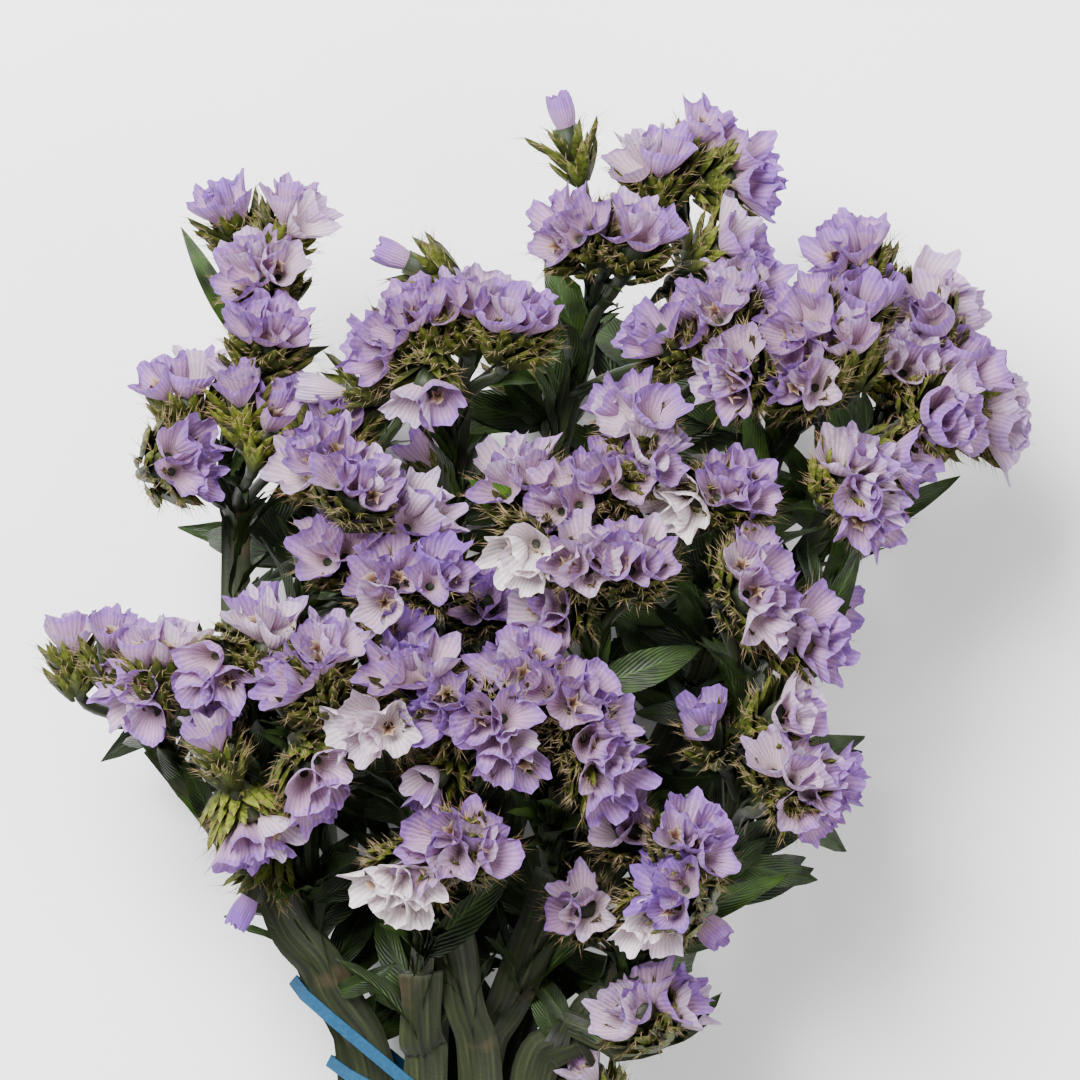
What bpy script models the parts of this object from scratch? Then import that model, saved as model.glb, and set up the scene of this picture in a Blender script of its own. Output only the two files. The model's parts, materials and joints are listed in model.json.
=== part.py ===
"""A bunch of lavender statice, cut and tied with a rubber band, lying on a surface.

The bunch lies along Y: cut ends at -Y, flower heads at +Y, +Z up from the surface. The origin is the
middle of the bunch, on the surface. Each stem is one solid with its limbs, branches, leaves and bract
cups. The papery calyces of its heads are solids of their own, seated just above the cups.
"""

import math
import random

import bmesh
import bpy
import numpy as np
from mathutils import Matrix, Vector
from mathutils.geometry import delaunay_2d_cdt

MM = 0.001
GAP = 0.45

# Flower heads: sizes in millimetres.
CALYX_LENGTH = 11.0
CALYX_RADIUS = 4.9
CALYX_SIDES = 8
CALYX_DIMPLE = 3.6
RIM_WAVE = 0.9
RIM_PINCH = 0.12
FLORET_SHARE = 0.68
FLORET_PITCH = 2.2
FAN_DEGREES = 21.0
FAN_JITTER = 5.0
FAN_SHARE = 0.8
SIDE_DEGREES = 13.0
SIDE_JITTER = 6.0
SIDE_OFFSET = 0.5
LENGTH_RANGE = (0.94, 1.08)
RIM_REACH = 0.98
TOP_REACH = 0.9
ONE_ROOT_TO = 0.6 * FLORET_PITCH

# Bract cups, branches, limbs and trunks: sizes in millimetres.
CUP_DEPTH = 7.5
CUP_RADIUS = 3.1
CUP_SIDES = 6
CUP_TOOTH = 2.6
CUP_HOLLOW = 1.0
CUP_FOOT_FLARE = 1.3
CUP_TOOTH_FLARE = 1.25
CUP_DRAWN = 0.16
BRANCH_WIDTH = 2.4
LIMB_WIDTH = 4.6
LIMB_THICKNESS = 2.6
TRUNK_WIDTH = 8.6
TRUNK_THICKNESS = 3.2
WING_EDGE = 0.7
LEAF_THICKNESS = 0.8
LEAF_ARCH = 0.10
LEAF_OUTLINE = ((0.0, 0.16), (0.3, 0.45), (0.55, 0.5), (0.8, 0.28))
TRUNK_STEPS = 3
LIMB_STEPS = 2
HAND_LAID_TO = 10.0
BRANCH_RISE = 6.0
BRANCH_STEPS = (0.0, 0.4, 0.75, 1.0)
BRANCH_LEAVE = 0.22
BRANCH_ARRIVE = 0.35
BRANCH_ARRIVE_TO = 9.0
ROOT_DEPTH = 0.62 * CALYX_LENGTH
FUSE_DEPTH = 3.0
BLOOM_NODES = 48

# How strands are bent clear of each other: rounds, distances in millimetres, and shares of each step.
BEND_ROUNDS = 90
BEND_SEARCH_EVERY = 15
BEND_SEARCH = 12.0
BEND_SHARE = 0.3
BEND_STEP = 1.5
CLEARANCE = 0.8
HEAD_CLEARANCE = 5.0
STRAND_RADIUS = {"trunk": 3.8, "limb": 2.5, "branch": 1.3, "cup": 4.2}

# How solids are cut and cleaned: distances in millimetres, volumes in cubic millimetres.
SHARPEST = 2.5
THIN_RATIOS = (0.57, 0.64, 0.7, 0.8, 1.0)
WELDS = (0.02, 0.01, 0.05, 0.0)
SLIVERS = (0.0, 0.003, 0.01, 0.03)
OVERLAP_ALLOWED = 0.003
ATTEMPTS = 12
FIRST_ATTEMPT = {"right_heads_2": 1}
HAIR = 0.03
SLIVERS_FROM = 100
ON_SURFACE = 0.1
HOLD_SCALE = 0.93

# The dome that the heads lie on: its middle, its half sizes, and the layer of heads under the bunch.
DOME_MIDDLE = (0.0, 102.0, 50.0)
DOME_HALF = (104.0, 106.0, 50.0)
UNDER_HALF_HEIGHT = 45.0
HEAD_RADIUS = 5.6
HEAD_GROWTH = 0.75
LOWEST_HEAD = 6.0
SPREAD_ROUNDS = 40
SPREAD_CLOSENESS = 0.92
SPREAD_SHARE = 0.25
UNDER_LOOK = -25

# The rubber band round the stems: where it lies, how far its left side is up the stems, and its loops.
BAND_MIDDLE = (-16.0, -12.0)
BAND_SLOPES = (-0.85, -0.50, -0.30)
BAND_SHIFTS = (1.5, 0.0, -1.5)
BAND_WIDTH = 2.4
BAND_THICKNESS = 1.2
BAND_STEP = 1.8
BAND_CORNER = 8
BAND_SAMPLES = 8

# Brings the middle of the finished bunch over the origin.
TO_ORIGIN = (-2.0, 1.8, 0.0)

RANDOM_SEED = 11

# Each stem: its trunk from the cut end through the band to the fork, its limbs onwards from the fork,
# and the heads on each limb. All points are x, y, z in millimetres.
# A head is x, y, how far it is sunk below the dome, the way it faces in plan, how far it looks up,
# the way its row of florets runs, and how many florets it has. Angles are in degrees.
STEMS = {
    "far_left": {
        "trunk": [(-44, -196, 1.4), (-39, -90, 13), (-37, -6, 27), (-42, 14, 32), (-48, 28, 40)],
        "limbs": {
            "outer": {
                "path": [(-48, 28, 40), (-60, 44, 46), (-70, 58, 52), (-78, 68, 55)],
                "heads": [
                    (-94, 92, 2, 96, 10, 0, 2),
                    (-85, 93, 3, 88, 14, 0, 2),
                    (-75, 90, 2, 90, 18, 0, 4),
                    (-81, 78, -3, 205, 55, 100, 4),
                    (-65, 81, -2, 250, 58, 60, 4),
                ],
            },
            "inner": {
                "path": [(-48, 28, 40), (-47, 42, 54), (-47, 56, 66), (-47, 68, 72)],
                "heads": [
                    (-54, 95, 6, 90, 30, 90, 4),
                    (-48, 85, 0, 130, 35, 40, 5),
                    (-41, 91, 0, 80, 35, 0, 3),
                    (-35, 72, 0, 205, 60, -20, 4),
                    (-43, 60, 2, 300, 45, 60, 4),
                    (-56, 48, 4, 290, 25, 0, 4),
                    (-60, 35, 16, 240, 8, 0, 1),
                    (-65, 73, 2, 110, 20, 0, 2),
                ],
            },
        },
    },
    "upper_left": {
        "trunk": [(-33, -201, 5), (-34, -90, 20), (-33, -6, 34), (-42, 17, 42), (-52, 38, 50), (-58, 57, 56)],
        "limbs": {
            "tall": {
                "path": [
                    (-58, 57, 56), (-61, 84, 60), (-61, 106, 62), (-61, 124, 62),
                    (-60, 142, 60), (-58, 154, 59),
                ],
                "heads": [
                    (-64, 178, 2, 115, 20, 10, 3),
                    (-47, 176, 2, 60, 25, 60, 4),
                    (-56, 165, -3, 110, 45, 5, 5),
                    (-53, 153, -4, 80, 35, 0, 5),
                    (-71, 143, 0, 100, 20, 0, 4),
                    (-59, 141, -2, 95, 25, 0, 2),
                    (-68, 125, -2, 14, 46, 96, 5),
                    (-52, 136, 4, 70, 25, 0, 2),
                ],
            },
            "near": {
                "path": [(-58, 57, 56), (-54, 80, 62), (-47, 98, 69), (-40, 112, 74)],
                "heads": [
                    (-45, 127, -1, 120, 45, 20, 5),
                    (-40, 135, 9, 90, 30, 0, 3),
                    (-34, 122, 0, 60, 45, -45, 5),
                    (-24, 116, 3, 55, 45, -45, 4),
                    (-44, 139, 6, 172, 8, 0, 1),
                ],
            },
        },
    },
    "mid_left": {
        "trunk": [(-13, -197, 15), (-12, -90, 28), (-12, -6, 41), (-16, 18, 50), (-20, 40, 57)],
        "limbs": {
            "back": {
                "path": [(-20, 40, 57), (-27, 60, 64), (-30, 76, 71), (-30, 88, 76)],
                "heads": [
                    (-40, 110, 0, 100, 50, 20, 4),
                    (-30, 102, -1, 100, 65, 60, 4),
                    (-20, 104, 4, 80, 60, 20, 3),
                    (-11, 100, 14, 90, 50, 0, 3),
                    (-27, 94, 4, 60, 35, 0, 2),
                ],
            },
            "front": {
                "path": [(-20, 40, 57), (-17, 50, 68), (-16, 60, 77), (-15, 66, 81)],
                "heads": [
                    (-25, 86, 0, 100, 45, -20, 4),
                    (-20, 77, -2, 165, 60, 120, 4),
                    (-7, 70, -3, 280, 72, 110, 6),
                    (-23, 60, 8, 230, 40, 0, 2),
                ],
            },
        },
    },
    "low_left": {
        "trunk": [(-24, -203, 12), (-24, -90, 27), (-23, -6, 40), (-24, 8, 46), (-24, 22, 55)],
        "limbs": {
            "only": {
                "path": [(-24, 22, 55), (-23, 30, 64), (-21, 36, 70)],
                "heads": [
                    (-21, 49, -1, 190, 55, 20, 4),
                    (-11, 51, 0, 55, 50, 0, 3),
                    (-28, 40, 0, 245, 55, -30, 5),
                ],
            },
        },
    },
    "arch": {
        "trunk": [(-23, -190, 5), (-25, -90, 18), (-24, -6, 32), (-20, 40, 40), (-17, 74, 50)],
        "limbs": {
            "left": {
                "path": [(-17, 74, 50), (-18, 98, 61), (-18, 120, 69), (-16, 136, 73)],
                "heads": [
                    (-29, 165, 6, 160, 10, 0, 1),
                    (-34, 147, 0, 170, 35, 70, 3),
                    (-27, 155, -1, 122, 32, 35, 5),
                    (-15, 158, -1, 95, 35, 5, 4),
                    (-4, 155, -2, 75, 38, -10, 5),
                    (-23, 136, -4, 255, 45, 90, 2),
                ],
            },
            "middle": {
                "path": [(-17, 74, 50), (-6, 90, 66), (6, 104, 80), (14, 112, 85)],
                "heads": [
                    (17, 136, 0, 120, 45, -50, 4),
                    (24, 127, 0, 40, 45, -40, 3),
                    (16, 124, 2, 90, 60, 0, 4),
                    (5, 119, 0, 120, 60, 20, 4),
                    (-5, 124, 9, 100, 45, 30, 4),
                    (39, 121, 0, 60, 50, 0, 5),
                    (27, 117, 0, 205, 60, 0, 3),
                ],
            },
        },
    },
    "crown": {
        "trunk": [(-12, -199, 1.4), (-19, -90, 11), (-20, -6, 24), (-10, 40, 27), (0, 84, 36)],
        "limbs": {
            "tip": {
                "path": [(0, 84, 38), (0, 112, 50), (6, 138, 60), (10, 156, 64)],
                "heads": [
                    (4, 194, 4, 108, 10, 0, 1),
                    (5, 172, -2, 130, 45, 30, 5),
                    (20, 172, -1, 70, 40, -30, 4),
                    (20, 150, 4, 150, 32, 60, 3),
                ],
            },
            "right_tip": {
                "path": [(0, 84, 38), (12, 112, 44), (24, 142, 48), (32, 162, 50)],
                "heads": [
                    (22, 187, 3, 100, 30, 0, 4),
                    (36, 192, 3, 52, 15, -50, 3),
                    (44, 181, 0, 5, 30, 90, 4),
                    (41, 170, 4, 30, 20, 20, 3),
                    (33, 157, -2, 122, 38, 45, 6),
                    (42, 163, 0, 60, 35, 10, 3),
                ],
            },
        },
    },
    "upper_right": {
        "trunk": [(5, -204, 1.4), (-4, -90, 12), (-8, -6, 25), (10, 36, 28), (30, 74, 38)],
        "limbs": {
            "inner": {
                "path": [(30, 74, 38), (38, 98, 56), (44, 118, 66), (48, 132, 70)],
                "heads": [
                    (61, 169, 2, 112, 30, 0, 4),
                    (62, 159, 2, 90, 40, -10, 4),
                    (50, 154, 0, 130, 45, 40, 4),
                    (60, 151, -6, 98, 34, 0, 3),
                    (35, 142, 0, 170, 46, 96, 5),
                    (49, 142, -3, 130, 55, 0, 5),
                ],
            },
            "outer": {
                "path": [(30, 74, 38), (48, 98, 48), (64, 122, 56), (72, 136, 58)],
                "heads": [
                    (75, 156, 2, 130, 40, -60, 4),
                    (83, 159, 4, 35, 30, -60, 4),
                    (73, 147, -1, 74, 46, 4, 5),
                    (88, 146, 2, 40, 22, -20, 4),
                ],
            },
        },
    },
    "right": {
        "trunk": [(18, -194, 3), (9, -90, 17), (4, -6, 30), (20, 20, 36), (37, 44, 46)],
        "limbs": {
            "upper": {
                "path": [(37, 44, 46), (48, 72, 56), (58, 98, 64), (62, 110, 66)],
                "heads": [
                    (82, 134, -3, 10, 50, 108, 5),
                    (95, 133, 2, 355, 22, 90, 4),
                    (74, 124, 4, 340, 35, 0, 2),
                    (64, 124, -2, 40, 45, -40, 5),
                    (65, 114, -2, 300, 55, -80, 4),
                ],
            },
            "lower": {
                "path": [(37, 44, 46), (40, 56, 60), (41, 70, 70), (41, 80, 74)],
                "heads": [
                    (44, 100, -2, 20, 55, 110, 7),
                    (56, 90, 2, 0, 40, 90, 4),
                    (51, 77, 2, 30, 38, 0, 3),
                    (32, 75, 14, 110, 40, 0, 2),
                    (51, 66, -2, 55, 45, -40, 4),
                    (55, 58, -2, 330, 48, 60, 5),
                    (61, 62, 8, 15, 18, 0, 2),
                ],
            },
        },
    },
    "centre": {
        "trunk": [(-6, -188, 9), (-11, -90, 21), (-13, -6, 34), (-5, 18, 44), (3, 42, 58)],
        "limbs": {
            "tall": {
                "path": [(3, 42, 58), (7, 62, 70), (10, 80, 80), (11, 90, 84)],
                "heads": [
                    (-2, 105, -2, 235, 62, -40, 4),
                    (8, 107, -1, 90, 65, 0, 3),
                    (18, 108, -1, 85, 50, 0, 5),
                    (0, 93, 8, 200, 55, 20, 4),
                ],
            },
            "short": {
                "path": [(3, 42, 58), (2, 50, 68), (2, 58, 77), (2, 66, 82)],
                "heads": [
                    (-5, 86, 0, 110, 50, -10, 4),
                    (6, 81, -2, 80, 60, -30, 4),
                    (12, 72, -2, 10, 60, 90, 4),
                    (14, 63, -1, 320, 60, 60, 4),
                ],
            },
        },
    },
    "low_right": {
        "trunk": [(8, -200, 10), (1, -90, 24), (-2, -6, 38), (7, 8, 45), (15, 17, 50)],
        "limbs": {
            "upper": {
                "path": [(15, 17, 50), (19, 27, 58), (22, 34, 65)],
                "heads": [
                    (31, 52, 0, 60, 50, -20, 5),
                    (24, 42, 0, 150, 45, 70, 4),
                    (23, 33, 4, 260, 60, 0, 4),
                    (34, 32, 10, 320, 25, 0, 1),
                    (7, 38, 18, 120, 60, 0, 3),
                    (17, 55, 12, 100, 50, 0, 3),
                ],
            },
            "lower": {
                "path": [(7, 8, 45), (16, 6, 48), (24, 8, 50)],
                "heads": [
                    (18, 17, 16, 130, 40, 20, 4),
                    (29, 18, 20, 35, 20, 0, 3),
                    (9, 3, 26, 120, 20, 0, 2),
                ],
            },
        },
    },
}

# Heads on the underside, which the surface presses up into a flatter layer. Each is the stem and limb
# that carries it, then x, y, facing, look, row and florets as above. Its height follows the underside.
UNDER_HEADS = [
    ("far_left", "outer", -74, 74, 220, 0, 4),
    ("far_left", "inner", -50, 62, 240, 0, 4),
    ("upper_left", "tall", -52, 112, 160, 60, 4),
    ("upper_left", "tall", -54, 140, 120, 20, 4),
    ("upper_left", "near", -34, 92, 200, 80, 4),
    ("arch", "left", -22, 130, 110, 30, 4),
    ("mid_left", "back", -26, 66, 250, 10, 4),
    ("crown", "tip", -4, 152, 100, 0, 4),
    ("crown", "right_tip", 26, 148, 70, 60, 4),
    ("arch", "middle", 2, 108, 90, 30, 4),
    ("upper_right", "inner", 46, 118, 40, 80, 4),
    ("upper_right", "outer", 72, 122, 20, 90, 4),
    ("right", "lower", 46, 70, 310, 20, 4),
    ("centre", "short", 8, 64, 270, 0, 4),
    ("right", "upper", 62, 92, 340, 60, 4),
]

# Leaves: the stem that carries each, its root, its tip and its width, in millimetres.
LEAVES = [
    ("upper_left", (-63, 152, 60), (-72, 172, 62), 5.5),
    ("upper_left", (-56, 138, 60), (-42, 148, 66), 5.0),
    ("upper_left", (-61, 112, 60), (-69, 122, 62), 5.0),
    ("arch", (-12, 112, 74), (-8, 126, 92), 8.0),
    ("crown", (10, 150, 64), (1, 166, 66), 8.0),
    ("crown", (28, 152, 49), (41, 175, 58), 8.0),
    ("upper_right", (42, 120, 68), (40, 140, 88), 6.5),
    ("right", (60, 108, 66), (84, 122, 66), 6.0),
    ("right", (48, 84, 68), (64, 108, 74), 7.5),
    ("right", (41, 66, 64), (62, 46, 50), 8.0),
    ("centre", (8, 76, 82), (32, 88, 78), 9.0),
    ("low_right", (20, 24, 56), (38, 28, 50), 4.0),
    ("low_right", (22, 28, 62), (50, 42, 58), 7.0),
    ("low_left", (-14, 26, 60), (-4, 46, 70), 10.0),
    ("far_left", (-38, 16, 38), (-52, 34, 36), 4.5),
    ("far_left", (-62, 48, 51), (-72, 66, 62), 6.0),
]


def smooth_path(points, steps):
    """Points on a Catmull-Rom curve through the given ones, with that many steps for each stretch."""
    p = [Vector(q) for q in points]
    p = [p[0] * 2 - p[1]] + p + [p[-1] * 2 - p[-2]]
    out = []
    for i in range(1, len(p) - 2):
        for k in range(steps):
            t = k / steps
            a, b, c, d = p[i - 1], p[i], p[i + 1], p[i + 2]
            bend = (a * 2 - b * 5 + c * 4 - d) * t * t + (b * 3 - a - c * 3 + d) * t ** 3
            out.append((b * 2 + (c - a) * t + bend) * 0.5)
    return out + [p[-2]]


def dome_height(x, y, half_height):
    """Height of the dome over a place in plan: above its middle, or below it if half_height is negative."""
    across = (x - DOME_MIDDLE[0]) / DOME_HALF[0]
    along = (y - DOME_MIDDLE[1]) / DOME_HALF[1]
    inside = max(0.0, 1.0 - across ** 2 - along ** 2)
    return DOME_MIDDLE[2] + half_height * math.sqrt(inside)


def facing(face, look):
    """Unit vector that points face degrees round from +X in plan, and look degrees up."""
    f, u = math.radians(face), math.radians(look)
    return Vector((math.cos(f) * math.cos(u), math.sin(f) * math.cos(u), math.sin(u)))


def new_head(stem, limb, at, face, look, run, count):
    """A head as a dict: its stem and limb, its centre, the way it faces, its row and its florets."""
    out, row = facing(face, look), facing(run, 0)
    row = (row - out * row.dot(out)).normalized()
    return dict(
        stem=stem,
        limb=limb,
        at=Vector(at),
        out=out,
        row=row,
        side=out.cross(row).normalized(),
        count=count,
        size=HEAD_RADIUS + HEAD_GROWTH * count,
    )


def all_heads():
    """Every head on the dome and under the bunch."""
    found = []
    for stem, spec in STEMS.items():
        for limb, part in spec["limbs"].items():
            for x, y, sunk, face, look, run, count in part["heads"]:
                z = dome_height(x, y, DOME_HALF[2]) - sunk
                found.append(new_head(stem, limb, (x, y, z), face, look, run, count))
    for stem, limb, x, y, face, run, count in UNDER_HEADS:
        z = max(LOWEST_HEAD, dome_height(x, y, -UNDER_HALF_HEIGHT))
        found.append(new_head(stem, limb, (x, y, z), face, UNDER_LOOK, run, count))
    return found


def spread_in_depth(heads):
    """Moves heads that crowd each other apart, up and down only, so that their places in plan stay."""
    for _ in range(SPREAD_ROUNDS):
        for i, a in enumerate(heads):
            for b in heads[i + 1:]:
                if a["stem"] == b["stem"]:
                    continue
                apart = b["at"] - a["at"]
                flat = math.hypot(apart.x, apart.y)
                reach = (a["size"] + b["size"]) * SPREAD_CLOSENESS
                if flat >= reach or abs(apart.z) >= math.sqrt(reach ** 2 - flat ** 2):
                    continue
                push = (math.sqrt(reach ** 2 - flat ** 2) - abs(apart.z)) * SPREAD_SHARE
                up = 1.0 if apart.z >= 0 else -1.0
                a["at"].z = max(LOWEST_HEAD, a["at"].z - up * push)
                b["at"].z = max(LOWEST_HEAD, b["at"].z + up * push)


def florets_of(head):
    """Root, direction, length and turn of each floret: two rows along the head, fanned out from its cup."""
    draw = random.Random(RANDOM_SEED + int(head["at"].x * 7 + head["at"].y * 13))
    count = max(1, round(head["count"] * FLORET_SHARE))
    root = head["at"] - head["out"] * ROOT_DEPTH
    found = []
    for i in range(count):
        place = i - (count - 1) / 2
        side = (1 if i % 2 else -1) if count > 1 else 0
        fan = math.radians(FAN_DEGREES * place + draw.uniform(-FAN_JITTER, FAN_JITTER))
        lean = math.radians(SIDE_DEGREES * side + draw.uniform(-SIDE_JITTER, SIDE_JITTER))
        way = head["out"] + head["row"] * math.tan(fan * FAN_SHARE) + head["side"] * math.tan(lean)
        at = root + head["row"] * (place * FLORET_PITCH) + head["side"] * (side * SIDE_OFFSET)
        length = CALYX_LENGTH * draw.uniform(*LENGTH_RANGE)
        found.append((at, way.normalized(), length, draw.uniform(0, math.tau)))
    return found


def cup_foot(head):
    """The lowest point of a head's cup. A fused head's cup is raised into its calyces."""
    raised = FUSE_DEPTH if head["fused"] else 0.0
    return head["at"] - head["out"] * (ROOT_DEPTH + CUP_DEPTH + GAP - raised)


def branch_path(head, limb_points):
    """Points from a limb to the head's cup, leaving low down and arriving from behind, and the limb point."""
    foot = cup_foot(head)
    start = min(range(len(limb_points)), key=lambda i: (limb_points[i] - foot).length)
    while start > 1 and limb_points[start].y > foot.y - BRANCH_RISE:
        start -= 1
    best = limb_points[start]
    span = (foot - best).length
    leave = best + (Vector((0, 1, 0.15)) + (foot - best).normalized()) * (span * BRANCH_LEAVE)
    arrive = foot - head["out"] * min(span * BRANCH_ARRIVE, BRANCH_ARRIVE_TO)
    points = []
    for t in BRANCH_STEPS:
        s = 1 - t
        points.append(best * s ** 3 + leave * (3 * s * s * t) + arrive * (3 * s * t * t) + foot * t ** 3)
    points.append(foot + head["out"] * CUP_DEPTH)
    return points, start


def all_strands(heads):
    """Trunks, limbs and branches as dicts: stem, kind, points, the strand they grow from, and where."""
    strands = []

    def add(stem, kind, points, parent, at, head=None):
        strands.append(dict(stem=stem, kind=kind, points=points, parent=parent, at=at, head=head))
    for stem, spec in STEMS.items():
        trunk = smooth_path(spec["trunk"], TRUNK_STEPS)
        trunk_index = len(strands)
        add(stem, "trunk", trunk, None, 0)
        for limb, part in spec["limbs"].items():
            path = smooth_path(part["path"], LIMB_STEPS)
            root = min(range(len(trunk)), key=lambda i: (trunk[i] - path[0]).length)
            root = max(1, root - 1)
            points = [trunk[root].copy()] + path
            limb_index = len(strands)
            add(stem, "limb", points, trunk_index, root)
            for number, head in enumerate(heads):
                if head["stem"] == stem and head["limb"] == limb:
                    path, start = branch_path(head, points)
                    add(stem, "branch", path, limb_index, start, number)
    return strands


def nearest_between(p, q, r, s):
    """For arrays of segments p-q and r-s, how far along each their nearest points lie, from 0 to 1."""
    d1, d2, w = q - p, s - r, p - r
    a, e = (d1 * d1).sum(1) + 1e-9, (d2 * d2).sum(1) + 1e-9
    b, c, f = (d1 * d2).sum(1), (d1 * w).sum(1), (d2 * w).sum(1)
    first = np.clip((b * f - c * e) / np.maximum(a * e - b * b, 1e-9), 0, 1)
    second = np.clip((b * first + f) / e, 0, 1)
    first = np.clip((b * second - c) / a, 0, 1)
    return first, second


def bend_clear(strands, heads):
    """Bends the strands of different stems clear of each other and of the calyces of other heads."""
    points, free, ties, segments = [], [], [], []
    stems = list(STEMS)
    for strand in strands:
        strand["first"] = len(points)
        last = len(strand["points"]) - 1
        for i, point in enumerate(strand["points"]):
            points.append(list(point))
            if strand["kind"] == "trunk":
                free.append(point.y > HAND_LAID_TO)
            elif strand["kind"] == "limb":
                free.append(i > 0)
            else:
                free.append(0 < i < last - 1)
        if strand["parent"] is not None:
            ties.append((strand["first"], strands[strand["parent"]]["first"] + strand["at"]))
        number = -1 if strand["head"] is None else strand["head"]
        for i in range(last):
            in_cup = strand["kind"] == "branch" and i == last - 1
            radius = STRAND_RADIUS["cup" if in_cup else strand["kind"]]
            start = strand["first"] + i
            segments.append((start, start + 1, radius, stems.index(strand["stem"]), number, 0))
    for number, head in enumerate(heads):
        first = len(points)
        points.extend([list(head["at"] - head["out"] * 3), list(head["at"] + head["out"] * 3)])
        free.extend([False, False])
        segments.append((first, first + 1, HEAD_CLEARANCE, stems.index(head["stem"]), number, 1))
    points, free, segments = np.array(points), np.array(free, float), np.array(segments)
    ends = segments[:, :2].astype(int)
    i, j = np.triu_indices(len(segments), 1)
    stem, number, is_head = segments[:, 3], segments[:, 4], segments[:, 5]
    both = (is_head[i] + is_head[j]) < 2
    apart = (stem[i] != stem[j]) | ((is_head[i] + is_head[j] == 1) & (number[i] != number[j]))
    keep = both & apart
    i, j = i[keep], j[keep]
    for turn in range(BEND_ROUNDS):
        if turn % BEND_SEARCH_EVERY == 0:
            middle = (points[ends[:, 0]] + points[ends[:, 1]]) / 2
            half = np.linalg.norm(points[ends[:, 1]] - points[ends[:, 0]], axis=1) / 2
            close = np.linalg.norm(middle[i] - middle[j], axis=1) < half[i] + half[j] + BEND_SEARCH
            a, b = i[close], j[close]
        p, q, r, s = points[ends[a, 0]], points[ends[a, 1]], points[ends[b, 0]], points[ends[b, 1]]
        t, u = nearest_between(p, q, r, s)
        gap = (r + (s - r) * u[:, None]) - (p + (q - p) * t[:, None])
        length = np.linalg.norm(gap, axis=1) + 1e-6
        short = np.maximum(0, segments[a, 2] + segments[b, 2] + CLEARANCE - length)
        push = gap / length[:, None] * (short * BEND_SHARE)[:, None]
        move = np.zeros_like(points)
        np.add.at(move, ends[a, 0], -push * (1 - t)[:, None])
        np.add.at(move, ends[a, 1], -push * t[:, None])
        np.add.at(move, ends[b, 0], push * (1 - u)[:, None])
        np.add.at(move, ends[b, 1], push * u[:, None])
        size = np.linalg.norm(move, axis=1)
        move *= np.minimum(1, BEND_STEP / (size + 1e-9))[:, None]
        points += move * free[:, None]
        for child, parent in ties:
            points[child] = points[parent]
    for strand in strands:
        first = strand["first"]
        strand["points"] = [Vector(points[first + k]) for k in range(len(strand["points"]))]


def material(name, colour, roughness):
    """A plain Principled material."""
    made = bpy.data.materials.new(name)
    made.use_nodes = True
    shader = made.node_tree.nodes["Principled BSDF"]
    shader.inputs["Base Color"].default_value = (*colour, 1.0)
    shader.inputs["Roughness"].default_value = roughness
    return made


def add_object(name, mesh, collection):
    obj = bpy.data.objects.new(name, mesh)
    collection.objects.link(obj)
    return obj


def as_mesh(obj, collection):
    """A curve object made a mesh with its caps welded, in place, and the curve removed."""
    bpy.context.view_layer.update()
    graph = bpy.context.evaluated_depsgraph_get()
    mesh = bpy.data.meshes.new_from_object(obj.evaluated_get(graph))
    mesh.transform(obj.matrix_world)
    bm = bmesh.new()
    bm.from_mesh(mesh)
    bmesh.ops.remove_doubles(bm, verts=bm.verts, dist=1e-6)
    bmesh.ops.recalc_face_normals(bm, faces=bm.faces)
    bm.to_mesh(mesh)
    bm.free()
    made = add_object(obj.name + "_mesh", mesh, collection)
    bpy.data.objects.remove(obj)
    return made


def outline_curve(points, collection):
    """A closed flat curve through points in millimetres, used as the section of a stem."""
    curve = bpy.data.curves.new("section", "CURVE")
    spline = curve.splines.new("POLY")
    spline.points.add(len(points) - 1)
    for point, (x, y) in zip(spline.points, points):
        point.co = (x * MM, y * MM, 0, 1)
    spline.use_cyclic_u = True
    section = add_object("section", curve, collection)
    section.hide_render = True
    section.display_type = "WIRE"
    return section


def section_points(kind):
    """The section of a trunk, limb or band: a trunk has a thick middle and two thin wings."""
    if kind == "trunk":
        w, t, e = TRUNK_WIDTH / 2, TRUNK_THICKNESS / 2, WING_EDGE / 2
        return [(-w, -e), (0, -t), (w, -e), (w, e), (0, t), (-w, e)]
    if kind == "limb":
        w, t = LIMB_WIDTH / 2, LIMB_THICKNESS / 2
        return [(-w, 0), (0, -t), (w, 0), (0, t)]
    w, t = BAND_WIDTH / 2, BAND_THICKNESS / 2
    return [(-w, -t), (w, -t), (w, t), (-w, t)]


def sweep(points, kind, collection, closed=False):
    """A section carried along points as a closed mesh."""
    section = outline_curve(section_points(kind), collection)
    curve = bpy.data.curves.new("sweep", "CURVE")
    curve.dimensions = "3D"
    curve.twist_mode = "Z_UP"
    curve.bevel_mode = "OBJECT"
    curve.bevel_object = section
    curve.use_fill_caps = True
    spline = curve.splines.new("POLY")
    spline.points.add(len(points) - 1)
    for point, at in zip(spline.points, points):
        point.co = (*(Vector(at) * MM), 1)
    spline.use_cyclic_u = closed
    made = as_mesh(add_object("sweep", curve, collection), collection)
    bpy.data.objects.remove(section)
    return made


def solid(name, points, faces, collection):
    """A closed mesh from points in millimetres and faces that all turn the same way, turned outwards."""
    mesh = bpy.data.meshes.new(name)
    mesh.from_pydata([tuple(Vector(p) * MM) for p in points], [], faces)
    bm = bmesh.new()
    bm.from_mesh(mesh)
    if bm.calc_volume(signed=True) < 0:
        bmesh.ops.reverse_faces(bm, faces=bm.faces)
    bm.to_mesh(mesh)
    bm.free()
    return add_object(name, mesh, collection)


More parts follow.
